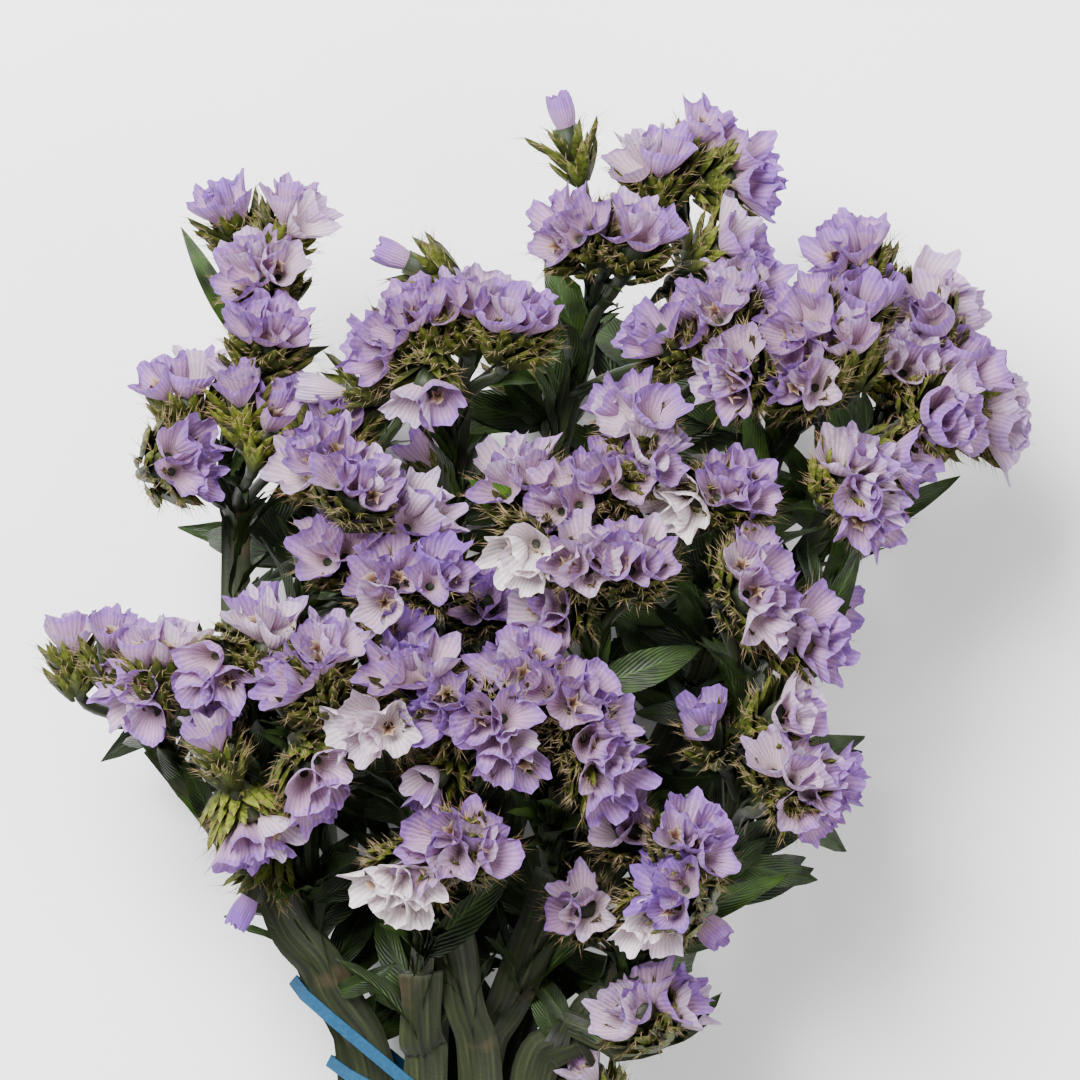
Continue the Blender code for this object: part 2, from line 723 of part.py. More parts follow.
def trimmed_top(places, centres):
    """Triangles over places in a plane, without those outside the circles round the centres."""
    _, _, found, _, _, _ = delaunay_2d_cdt(places, [], [], 0, 1e-5)
    top = [tuple(t) for t in found]
    again = True
    while again:
        again = False
        border = set(outline_of(top))
        for triangle in list(top):
            middle = sum((places[k] for k in triangle), Vector((0, 0))) / 3
            if min((middle - c).length for c in centres) < CALYX_RADIUS * TOP_REACH:
                continue
            sides = {(a, b) for t in top for a, b in zip(t, t[1:] + t[:1])}
            own = zip(triangle, triangle[1:] + triangle[:1])
            open_sides = [(a, b) for a, b in own if (b, a) not in sides]
            tip = [k for k in triangle if len(open_sides) == 1 and k not in open_sides[0]]
            if tip and tip[0] not in border:
                top.remove(triangle)
                again = True
                break
    return top


def outline_of(triangles):
    """The border of a patch of triangles as a loop of point numbers."""
    sides = {(a, b) for t in triangles for a, b in zip(t, t[1:] + t[:1])}
    after = {a: b for a, b in sides if (b, a) not in sides}
    loop = [min(after)]
    while after[loop[-1]] != loop[0]:
        loop.append(after[loop[-1]])
    return loop


def ruffle(head, collection):
    """A head's calyces grown together: a lobed, waved rim round a dimple for each, drawn in to the root."""
    florets = florets_of(head)
    rim, middles = [], []
    for at, way, length, turn in florets:
        across = (head["row"] - way * head["row"].dot(way)).normalized()
        over = way.cross(across)
        middles.append(at + way * (length - CALYX_DIMPLE))
        for k in range(CALYX_SIDES):
            angle = turn + k * math.tau / CALYX_SIDES
            wave = 1 if k % 2 else -1
            spoke = across * math.cos(angle) + over * math.sin(angle)
            reach = CALYX_RADIUS * (1 + RIM_PINCH * wave)
            rim.append(at + way * (length + RIM_WAVE * wave) + spoke * reach)

    def flat(point):
        from_root = point - head["at"]
        return Vector((from_root.dot(head["row"]), from_root.dot(head["side"])))
    centres = [flat(at + way * length) for at, way, length, _ in florets]
    kept = []
    for i, point in enumerate(rim):
        others = (c for j, c in enumerate(centres) if j != i // CALYX_SIDES)
        if all((flat(point) - c).length > CALYX_RADIUS * RIM_REACH for c in others):
            kept.append(point)
    points = kept + middles
    top = trimmed_top([flat(p) for p in points], centres)
    faces = list(top)
    rim = outline_of(top)
    leftmost = min(range(len(rim)), key=lambda i: flat(points[rim[i]]).x)
    rim = rim[leftmost:] + rim[:leftmost]
    rightmost = max(range(len(rim)), key=lambda i: flat(points[rim[i]]).x)
    root = head["at"] - head["out"] * ROOT_DEPTH
    spread = FLORET_PITCH * (len(florets) - 1) / 2
    first = len(points)
    if spread < ONE_ROOT_TO:
        points.append(root)
        feet = [first] * len(rim)
    else:
        points.extend([root - head["row"] * spread, root + head["row"] * spread])
        feet = []
        for i, k in enumerate(rim):
            past = flat(points[k]).x >= 0
            if i <= rightmost:
                feet.append(first + 1 if past or first + 1 in feet or i == rightmost else first)
            else:
                feet.append(first if not past or feet[-1] == first else first + 1)
    for i, a in enumerate(rim):
        b = rim[(i + 1) % len(rim)]
        foot, after = feet[i], feet[(i + 1) % len(rim)]
        faces.append((b, a, foot))
        if foot != after:
            faces.append((b, foot, after))
    return solid("ruffle", points, faces, collection)


def twig(points, head, collection):
    """A branch that opens into the cup of bracts under a head: three-sided, then a rim with three teeth."""
    rings, verts, faces = [], [], []
    across = head["row"]
    path = points[:-1]
    frames = []
    for i in range(len(path) - 1, -1, -1):
        along = head["out"] if i == len(path) - 1 else (path[i + 1] - path[i]).normalized()
        across = (across - along * across.dot(along)).normalized()
        frames.insert(0, (across, along.cross(across)))
    for i, (at, (across, over)) in enumerate(zip(path, frames)):
        radius = BRANCH_WIDTH / 2 * (CUP_FOOT_FLARE if i == len(path) - 1 else 1.0)
        rings.append([len(verts) + k for k in range(3)])
        for k in range(3):
            angle = k * math.tau / 3
            verts.append(at + (across * math.cos(angle) + over * math.sin(angle)) * radius)
    faces.append(tuple(reversed(rings[0])))
    for low, high in zip(rings, rings[1:]):
        for k in range(3):
            faces.append((low[k], low[(k + 1) % 3], high[(k + 1) % 3]))
            faces.append((low[k], high[(k + 1) % 3], high[k]))
    drawn = 1.0 + CUP_DRAWN * max(0, head["count"] - 1)
    foot, out = path[-1], head["out"]
    rim = [len(verts) + k for k in range(CUP_SIDES)]
    for k in range(CUP_SIDES):
        angle = k * math.tau / CUP_SIDES
        tooth = k % 2
        spoke = head["row"] * (math.cos(angle) * drawn) + head["side"] * math.sin(angle)
        height = CUP_DEPTH + (CUP_TOOTH if tooth else 0.0)
        verts.append(foot + out * height + spoke * (CUP_RADIUS * (CUP_TOOTH_FLARE if tooth else 1.0)))
    middle = len(verts)
    verts.append(foot + out * (CUP_DEPTH - CUP_HOLLOW))
    for k in range(3):
        a, b, c = rim[2 * k - 1], rim[2 * k], rim[2 * k + 1]
        faces.append((rings[-1][k], b, a))
        faces.append((rings[-1][k], c, b))
        faces.append((rings[-1][k], rings[-1][(k + 1) % 3], c))
    for k in range(CUP_SIDES):
        faces.append((rim[k], rim[(k + 1) % CUP_SIDES], middle))
    return solid("twig", verts, faces, collection)


def leaf(root, tip, width, collection):
    """A lance-shaped blade, arched along its length, made from a flat outline."""
    length = (tip - root).length
    curve = bpy.data.curves.new("leaf", "CURVE")
    curve.dimensions = "2D"
    curve.fill_mode = "BOTH"
    curve.extrude = LEAF_THICKNESS / 2 * MM
    spline = curve.splines.new("POLY")
    outline = [*LEAF_OUTLINE, (1.0, 0.0)] + [(u, -v) for u, v in reversed(LEAF_OUTLINE)]
    spline.points.add(len(outline) - 1)
    for point, (u, v) in zip(spline.points, outline):
        point.co = (u * length * MM, v * width * MM, 0, 1)
    spline.use_cyclic_u = True
    made = as_mesh(add_object("leaf", curve, collection), collection)
    way = (tip - root).normalized()
    across = Vector((0, 0, 1)).cross(way).normalized()
    frame = Matrix((way, across, way.cross(across))).transposed().to_4x4()
    for vert in made.data.vertices:
        vert.co.z += LEAF_ARCH * length * MM * math.sin(math.pi * vert.co.x / (length * MM))
    made.data.transform(Matrix.Translation(root * MM) @ frame)
    return made


def grown(obj, collection):
    """A copy of the object whose faces all lie the gap further out."""
    bm = bmesh.new()
    bm.from_mesh(obj.data)
    bmesh.ops.triangulate(bm, faces=bm.faces)
    moves = []
    for vert in bm.verts:
        normals = [f.normal for f in vert.link_faces if f.calc_area() > 0]
        out = sum(normals, Vector()).normalized()
        nearest = min((out.dot(n) for n in normals), default=1.0)
        moves.append(out * (GAP * MM * min(SHARPEST, 1 / max(nearest, 0.1))))
    for vert, move in zip(bm.verts, moves):
        vert.co += move
    mesh = bpy.data.meshes.new("grown")
    bm.to_mesh(mesh)
    bm.free()
    return add_object("grown", mesh, collection)


def combined(name, base, others, operation, collection):
    """The base object and the others put through one Boolean, which is applied. All of them are removed."""
    if not others:
        base.name = name
        return base
    operands = bpy.data.collections.new("operands")
    bpy.context.scene.collection.children.link(operands)
    for obj in others:
        for owner in list(obj.users_collection):
            owner.objects.unlink(obj)
        operands.objects.link(obj)
    boolean = base.modifiers.new("combined", "BOOLEAN")
    boolean.operation = operation
    boolean.operand_type = "COLLECTION"
    boolean.collection = operands
    boolean.solver = "MANIFOLD"
    bpy.context.view_layer.update()
    graph = bpy.context.evaluated_depsgraph_get()
    mesh = bpy.data.meshes.new_from_object(base.evaluated_get(graph))
    for obj in list(operands.objects):
        bpy.data.objects.remove(obj)
    bpy.data.collections.remove(operands)
    bpy.data.objects.remove(base)
    return add_object(name, mesh, collection)


def bodies_of(mesh):
    """The mesh's bodies, joined by their edges, as their volume, faces and vertices, largest first."""
    bm = bmesh.new()
    bm.from_mesh(mesh)
    left = set(bm.faces)
    found = []
    while left:
        island, edge = set(), [left.pop()]
        while edge:
            face = edge.pop()
            island.add(face)
            for side in face.edges:
                for other in side.link_faces:
                    if other in left:
                        left.discard(other)
                        edge.append(other)
        volume = 0.0
        for face in island:
            corner = face.verts[0].co
            for a, b in zip(face.verts[1:-1], face.verts[2:]):
                volume += corner.dot(a.co.cross(b.co)) / 6
        found.append((volume, {f.index for f in island}, {v.index for f in island for v in f.verts}))
    bm.free()
    found.sort(key=lambda body: -body[0])
    return found


def is_sound(mesh):
    """Whether the mesh is one closed body with its faces outwards, also with its finest slivers gone."""
    for weld in SLIVERS:
        bm = bmesh.new()
        bm.from_mesh(mesh)
        bmesh.ops.triangulate(bm, faces=bm.faces)
        if weld:
            bmesh.ops.dissolve_degenerate(bm, edges=bm.edges, dist=weld * MM)
            bmesh.ops.remove_doubles(bm, verts=bm.verts, dist=weld * MM)
        sound = all(e.is_manifold and e.is_contiguous for e in bm.edges)
        sound = sound and all(v.is_manifold for v in bm.verts)
        sound = sound and bm.calc_volume(signed=True) > 0
        trial = bpy.data.meshes.new("trial")
        bm.to_mesh(trial)
        bm.free()
        sound = sound and len(bodies_of(trial)) == 1
        bpy.data.meshes.remove(trial)
        if not sound:
            return False
    return True


def keep_largest(obj, weld=0.0):
    """Welds points that lie nearer than a distance in millimetres, then drops all but the largest body."""
    bm = bmesh.new()
    bm.from_mesh(obj.data)
    if weld:
        bmesh.ops.triangulate(bm, faces=bm.faces)
        bmesh.ops.remove_doubles(bm, verts=bm.verts, dist=weld * MM)
        bmesh.ops.dissolve_degenerate(bm, edges=bm.edges, dist=weld * MM)
        bmesh.ops.triangulate(bm, faces=bm.faces)
        bm.to_mesh(obj.data)
        bm.free()
        bm = bmesh.new()
        bm.from_mesh(obj.data)
    keep = bodies_of(obj.data)[0][1]
    bm.faces.ensure_lookup_table()
    bmesh.ops.delete(bm, geom=[f for f in bm.faces if f.index not in keep], context="FACES")
    bm.to_mesh(obj.data)
    bm.free()


def triangulated(mesh):
    """Splits the mesh's faces into triangles."""
    bm = bmesh.new()
    bm.from_mesh(mesh)
    bmesh.ops.triangulate(bm, faces=bm.faces)
    bm.to_mesh(mesh)
    bm.free()


def volume_of(mesh):
    """The volume inside a closed mesh, in cubic millimetres."""
    mesh.calc_loop_triangles()
    places = np.array([v.co[:] for v in mesh.vertices]) / MM
    places -= places.mean(axis=0)
    corners = places[np.array([t.vertices[:] for t in mesh.loop_triangles])]
    return (corners[:, 0] * np.cross(corners[:, 1], corners[:, 2])).sum() / 6


def is_clear(mesh, nodes, collection):
    """Whether the mesh lies in none of the finished nodes."""
    if not nodes:
        return True
    trial = add_object("trial", mesh.copy(), collection)
    left = combined("left", trial, [copied(node, collection) for node in nodes], "DIFFERENCE", collection)
    lost = volume_of(mesh) - volume_of(left.data)
    bpy.data.objects.remove(left)
    return lost < OVERLAP_ALLOWED


def cleaned(obj, nodes, collection):
    """The object's mesh without the slivers that cuts leave, or None if no try is sound and clear of nodes."""
    for weld in WELDS:
        trial = copied(obj, collection)
        keep_largest(trial, weld)
        few = sum(len(f.vertices) - 2 for f in trial.data.polygons) <= SLIVERS_FROM
        for ratio in (1.0,) if few else THIN_RATIOS:
            decimate = trial.modifiers.new("thinned", "DECIMATE")
            decimate.ratio = ratio
            bpy.context.view_layer.update()
            graph = bpy.context.evaluated_depsgraph_get()
            mesh = bpy.data.meshes.new_from_object(trial.evaluated_get(graph))
            trial.modifiers.remove(decimate)
            for vert in mesh.vertices:
                if vert.co.z < ON_SURFACE * MM:
                    vert.co.z = 0.0
            triangulated(mesh)
            if is_sound(mesh) and is_clear(mesh, nodes, collection):
                bpy.data.objects.remove(trial)
                return mesh
        bpy.data.objects.remove(trial)
    return None


def element(obj, group):
    """A piece with the group that it belongs to and the ball that holds it."""
    places = [v.co / MM for v in obj.data.vertices]
    middle = sum(places, Vector()) / len(places)
    return dict(group=group, obj=obj, middle=middle, reach=max((p - middle).length for p in places) + GAP)


def copied(obj, collection):
    return add_object(obj.name, obj.data.copy(), collection)


def held_together(heads, collection):
    """Clusters of heads of one stem whose calyces reach well into each other, the fullest first."""
    clusters = []
    for stem in STEMS:
        own = [head for head in heads if head["stem"] == stem]
        made = [ruffle(head, collection) for head in own]
        for head, obj in zip(own, made):
            centre = Matrix.Translation(head["at"] * MM)
            obj.data.transform(centre @ Matrix.Scale(HOLD_SCALE, 4) @ centre.inverted())
        whole = combined("cluster", made[0], made[1:], "UNION", collection)
        places = [v.co / MM for v in whole.data.vertices]
        bodies = bodies_of(whole.data)
        groups = [[] for _ in bodies]
        for head in own:
            tip = head["at"] + head["out"] * (CALYX_LENGTH - ROOT_DEPTH)
            nearest = [min((places[k] - tip).length for k in verts) for _, _, verts in bodies]
            groups[nearest.index(min(nearest))].append(head)
        clusters.extend((stem, group) for group in groups if group)
        bpy.data.objects.remove(whole)
    clusters.sort(key=lambda pair: -sum(head["count"] for head in pair[1]))
    return clusters


def leaf_of(stem, root, tip, width, strands, collection):
    """A leaf whose root is moved to the nearest point of its stem."""
    own = [p for strand in strands if strand["stem"] == stem for p in strand["points"]]
    root, tip = Vector(root), Vector(tip)
    root = min(own, key=lambda p: (p - root).length)
    return leaf(root, tip, width, collection)


def hull(points):
    """The convex hull of points in a plane, anticlockwise."""
    points = sorted(set(points))

    def half(ordered):
        chain = []
        for p in ordered:
            while len(chain) > 1:
                (ax, ay), (bx, by) = chain[-2], chain[-1]
                if (bx - ax) * (p[1] - ay) - (by - ay) * (p[0] - ax) > 0:
                    break
                chain.pop()
            chain.append(p)
        return chain[:-1]
    return half(points) + half(points[::-1])


def band_loop(slope, shift, trunks):
    """Points of one loop of the band: the hull of the stems where its sloping plane meets them."""
    margin = (GAP + BAND_THICKNESS / 2) / math.cos(math.pi / BAND_CORNER)

    def level(x):
        return BAND_MIDDLE[1] + shift + slope * (x - BAND_MIDDLE[0])
    around = []
    for trunk in trunks:
        for p, q in zip(trunk, trunk[1:]):
            along = (q - p).normalized()
            across = Vector((along.y, -along.x, 0)).normalized()
            over = across.cross(along)
            for k in range(BAND_SAMPLES):
                at = p.lerp(q, k / BAND_SAMPLES)
                corners = [at + across * x + over * y for x, y in section_points("trunk")]
                if min(abs(c.y - level(c.x)) for c in corners) > BAND_WIDTH:
                    continue
                for corner in corners:
                    for turn in range(BAND_CORNER):
                        angle = (turn + 0.5) * math.tau / BAND_CORNER
                        x, z = margin * math.cos(angle), margin * math.sin(angle)
                        around.append((corner.x + x, corner.z + z))
    outline = hull(around)
    kept = [outline[0]]
    for place in outline[1:]:
        if math.dist(place, kept[-1]) > BAND_STEP:
            kept.append(place)
    return [Vector((x, level(x), z)) for x, z in kept]


def ground(collection):
    """A block whose top is the surface that the bunch lies on."""
    bm = bmesh.new()
    bmesh.ops.create_cube(bm, size=1.0, matrix=Matrix.Translation((0, 0, -0.5)))
    mesh = bpy.data.meshes.new("ground")
    bm.to_mesh(mesh)
    bm.free()
    return add_object("ground", mesh, collection)


def carve(group, own, done, collection, cutters):
    """A group's pieces joined in one body, cut clear of the pieces done before it and of the surface.

    Where the cuts leave surfaces that touch along a line, the pieces are shifted by a hair and joined again.
    """
    near = [e for e in done if any((e["middle"] - f["middle"]).length < e["reach"] + f["reach"] for f in own)]
    nodes = [collection.objects[name] for name in dict.fromkeys(e["group"] for e in near)]
    for attempt in range(FIRST_ATTEMPT.get(group, 0), ATTEMPTS):
        draw = random.Random(attempt)
        made = []
        for e in own:
            piece = copied(e["obj"], cutters)
            hair = [draw.uniform(-HAIR, HAIR) * attempt * MM for _ in range(3)]
            piece.data.transform(Matrix.Translation(hair))
            made.append(piece)
        whole = combined("whole", made[0], made[1:], "UNION", cutters)
        keep_largest(whole)
        cut = [grown(e["obj"], cutters) for e in near]
        cut.append(ground(cutters))
        cut.extend(copied(node, cutters) for node in nodes)
        whole = combined("whole", whole, cut, "DIFFERENCE", cutters)
        mesh = cleaned(whole, nodes, cutters)
        bpy.data.objects.remove(whole)
        if mesh:
            return add_object(group, mesh, collection)
    raise RuntimeError(group + " has no sound body")


def build():
    """Builds the stems, their heads and the band, each a closed solid clear of the others."""
    for obj in list(bpy.data.objects):
        bpy.data.objects.remove(obj)
    parts = bpy.data.collections.new("statice_bunch")
    cutters = bpy.data.collections.new("cutters")
    for collection in (parts, cutters):
        bpy.context.scene.collection.children.link(collection)
    green = material("stem_green", (0.09, 0.12, 0.05), 0.75)
    lavender = material("calyx_lavender", (0.46, 0.34, 0.62), 0.8)
    rubber = material("rubber_blue", (0.05, 0.18, 0.50), 0.5)

    heads = all_heads()
    spread_in_depth(heads)
    for number, (stem, cluster) in enumerate(held_together(heads, cutters)):
        for head in cluster:
            head["fused"] = number >= BLOOM_NODES
            head["cluster"] = number
    strands = all_strands(heads)
    bend_clear(strands, heads)

    elements = []
    for stem in STEMS:
        group = stem + "_stem"
        for strand in strands:
            if strand["stem"] == stem and strand["kind"] != "branch":
                elements.append(element(sweep(strand["points"], strand["kind"], cutters), group))
            elif strand["stem"] == stem:
                elements.append(element(twig(strand["points"], heads[strand["head"]], cutters), group))
        elements.extend(element(leaf_of(*row, strands, cutters), group) for row in LEAVES if row[0] == stem)
        elements.extend(element(ruffle(h, cutters), group) for h in heads if h["stem"] == stem and h["fused"])
    counts = {}
    for number in sorted({h["cluster"] for h in heads if not h["fused"]}):
        own = [h for h in heads if h["cluster"] == number]
        stem = own[0]["stem"]
        counts[stem] = counts.get(stem, 0) + 1
        elements.extend(element(ruffle(h, cutters), f"{stem}_heads_{counts[stem]}") for h in own)

    done = []
    for group in dict.fromkeys(e["group"] for e in elements):
        own = [e for e in elements if e["group"] == group]
        whole = carve(group, own, done, parts, cutters)
        whole.data.materials.clear()
        whole.data.materials.append(green if group.endswith("_stem") else lavender)
        done.extend(own)
    for e in done:
        bpy.data.objects.remove(e["obj"])

    trunks = [s["points"] for s in strands if s["kind"] == "trunk"]
    loops = []
    for slope, shift in zip(BAND_SLOPES, BAND_SHIFTS):
        loops.append(sweep(band_loop(slope, shift, trunks), "band", cutters, closed=True))
    band = combined("rubber_band", loops[0], loops[1:], "UNION", parts)
    keep_largest(band)
    band.data.materials.clear()
    band.data.materials.append(rubber)
    for obj in parts.objects:
        obj.data.transform(Matrix.Translation(Vector(TO_ORIGIN) * MM))


build()
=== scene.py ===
"""The looks of a bunch of dried lavender statice, laid down and tied with a rubber band.

The bunch lies along Y with its flower heads at +Y. Sizes are in millimetres until a mesh is written.
The places of stems and heads are the same named values as in the part's source.
"""

import json
import math
import random

import bmesh
import bpy
import numpy as np
from mathutils import Matrix, Vector

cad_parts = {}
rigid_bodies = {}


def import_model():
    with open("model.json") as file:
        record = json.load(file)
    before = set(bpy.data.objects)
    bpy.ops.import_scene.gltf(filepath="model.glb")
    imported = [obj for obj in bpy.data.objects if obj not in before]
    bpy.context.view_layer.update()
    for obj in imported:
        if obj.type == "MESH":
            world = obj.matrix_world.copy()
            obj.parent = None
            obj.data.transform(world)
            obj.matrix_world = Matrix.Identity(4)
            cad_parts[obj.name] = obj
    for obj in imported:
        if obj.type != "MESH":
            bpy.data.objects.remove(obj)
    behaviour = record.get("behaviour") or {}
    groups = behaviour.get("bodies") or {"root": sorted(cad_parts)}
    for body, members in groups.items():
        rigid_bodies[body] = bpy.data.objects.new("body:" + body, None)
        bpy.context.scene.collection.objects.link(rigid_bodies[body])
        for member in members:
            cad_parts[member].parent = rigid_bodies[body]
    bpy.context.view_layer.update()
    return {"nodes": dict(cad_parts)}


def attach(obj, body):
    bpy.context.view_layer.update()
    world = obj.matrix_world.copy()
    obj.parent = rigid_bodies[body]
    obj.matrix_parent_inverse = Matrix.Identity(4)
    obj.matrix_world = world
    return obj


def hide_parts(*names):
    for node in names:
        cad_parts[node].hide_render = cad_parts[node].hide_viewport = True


bl_info = {
    "name": "Dried statice bunch",
    "version": (1, 0, 0),
    "blender": (4, 5, 0),
    "location": "View3D > Sidebar > Statice",
    "description": "Builds the calyces, bracts, leaves, stems and band of a dried statice bunch",
    "category": "Object",
}

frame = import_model()

MM = 0.001
GAP = 0.45

# Flower heads, in millimetres and degrees, as the solids have them.
CALYX_LENGTH = 11.0
FLORET_SHARE = 0.68
FLORET_PITCH = 2.2
FAN_DEGREES = 21.0
SIDE_DEGREES = 13.0
CUP_DEPTH = 7.5
BRANCH_WIDTH = 2.4
LIMB_WIDTH = 4.6
LIMB_THICKNESS = 2.6
TRUNK_WIDTH = 8.6
TRUNK_THICKNESS = 3.2
TRUNK_STEPS = 3
LIMB_STEPS = 2
BEND_ROUNDS = 90
CLEARANCE = 0.8
HEAD_CLEARANCE = 5.0
HAND_LAID_TO = 10.0
BRANCH_RISE = 6.0
ROOT_DEPTH = 0.62 * CALYX_LENGTH
FUSE_DEPTH = 3.0
STRAND_RADIUS = {"trunk": 3.8, "limb": 2.5, "branch": 1.3, "cup": 4.2}
DOME_MIDDLE = (0.0, 102.0, 50.0)
DOME_HALF = (104.0, 106.0, 50.0)
UNDER_HALF_HEIGHT = 45.0
HEAD_RADIUS = 5.6
HEAD_GROWTH = 0.75
LOWEST_HEAD = 6.0
TO_ORIGIN = Vector((-2.0, 1.8, 0.0))
RANDOM_SEED = 11
PRESSED_TO = 0.0002

# How the small shapes are dealt out.
CALYX_SHARE = 1.05
COROLLA_SHARE = 0.25
BRACT_TIERS = 3
BRACTS_AROUND = 4
BRACT_RISE = 0.3
BRISTLES = 8
BRISTLE_RADIUS = 0.09
CALYX_RINGS = 8
CALYX_SIDES = 36
RIBS = 26
LEAF_VEINS = 11
WING_WAVE = 0.55

# Small leaves at each point of a strand: how many, their shortest and longest, and their width's share.
APPENDAGES = {"trunk": (2, 18, 38, 0.2), "limb": (7, 12, 26, 0.3), "branch": (3, 7, 14, 0.26)}
FIRST_LEAF = 4.0
LEAF_COVER = 9.0
BUD_KIND = 5
ROUNDED_KIND = 6

# Places of heads that aren't plain lavender, and their tone: 0 bleached, 1 violet.
TONES = [
    (-2, 105, 0.0), (-35, 72, 0.1), (-28, 40, 0.15), (23, 33, 0.1), (26, 117, 0.1),
    (24, 42, 0.95), (-27, 94, 0.9), (-21, 103, 0.9), (-12, 101, 0.85), (32, 75, 0.85),
    (60, 62, 0.85), (-60, 35, 1.0), (-20, 77, 0.85), (-64, 178, 0.8), (43, 181, 0.75),
]

# Places where the bracts are still bright green, and how bright.
BRIGHT_BRACTS = [(68, 137, 0.9), (-56, 131, 0.6), (-56, 58, 0.6), (56, 122, 0.5), (-26, 57, 0.5)]
BRIGHT_LEAF = (-14, 121)

# Places in plan where dark leaves fill the foliage behind the heads, partly real leaves and partly painted shade
# standing in for the dark deep in the bunch: x, y and radius in millimetres.
SHADE_FILL = [
    (-7, 135, 8), (-5, 108, 11), (24, 96, 10), (24, 86, 10), (20, 76, 8), (34, 132, 7), (13, 150, 7), (53, 121, 8),
    (62, 135, 6), (-34, 71, 10), (-35, 53, 10), (-32, 36, 12), (-33, 16, 8), (-6, 43, 8), (-3, 30, 7), (6, 20, 8),
    (30, 60, 7), (46, 47, 8), (-66, 111, 4), (-29, 139, 6), (-82, 71, 6), (-54, 114, 6), (80, 124, 5),
    (16, 38, 8), (27, 30, 6), (28, 115, 8), (12, 131, 7), (46, 76, 6), (-56, 60, 8), (-12, 60, 10), (10, 60, 10),
    (-20, 20, 8), (40, 100, 8), (-40, 100, 8), (-15, 90, 8), (60, 62, 6),
]
SHADE_FILL_SHARE = 0.05
SHADE_FILL_HEIGHTS = (12, 46)

# The view: its size and middle in metres, at the height of most heads.
VIEW_WIDTH = 0.216
VIEW_MIDDLE = (-0.002, 0.111)
VIEW_DEPTH = 0.065
CAMERA_HEIGHT = 1.2
SENSOR = 36.0
FLOOR_SIZE = 4.0
AMBIENT = 0.4
AIM = (0.0, 0.1, 0.05)
LIGHTS = (
    ("key", (-0.35, 0.55, 0.95), 0.6, 46.0),
    ("fill", (0.55, -0.1, 0.8), 0.7, 8.0),
)

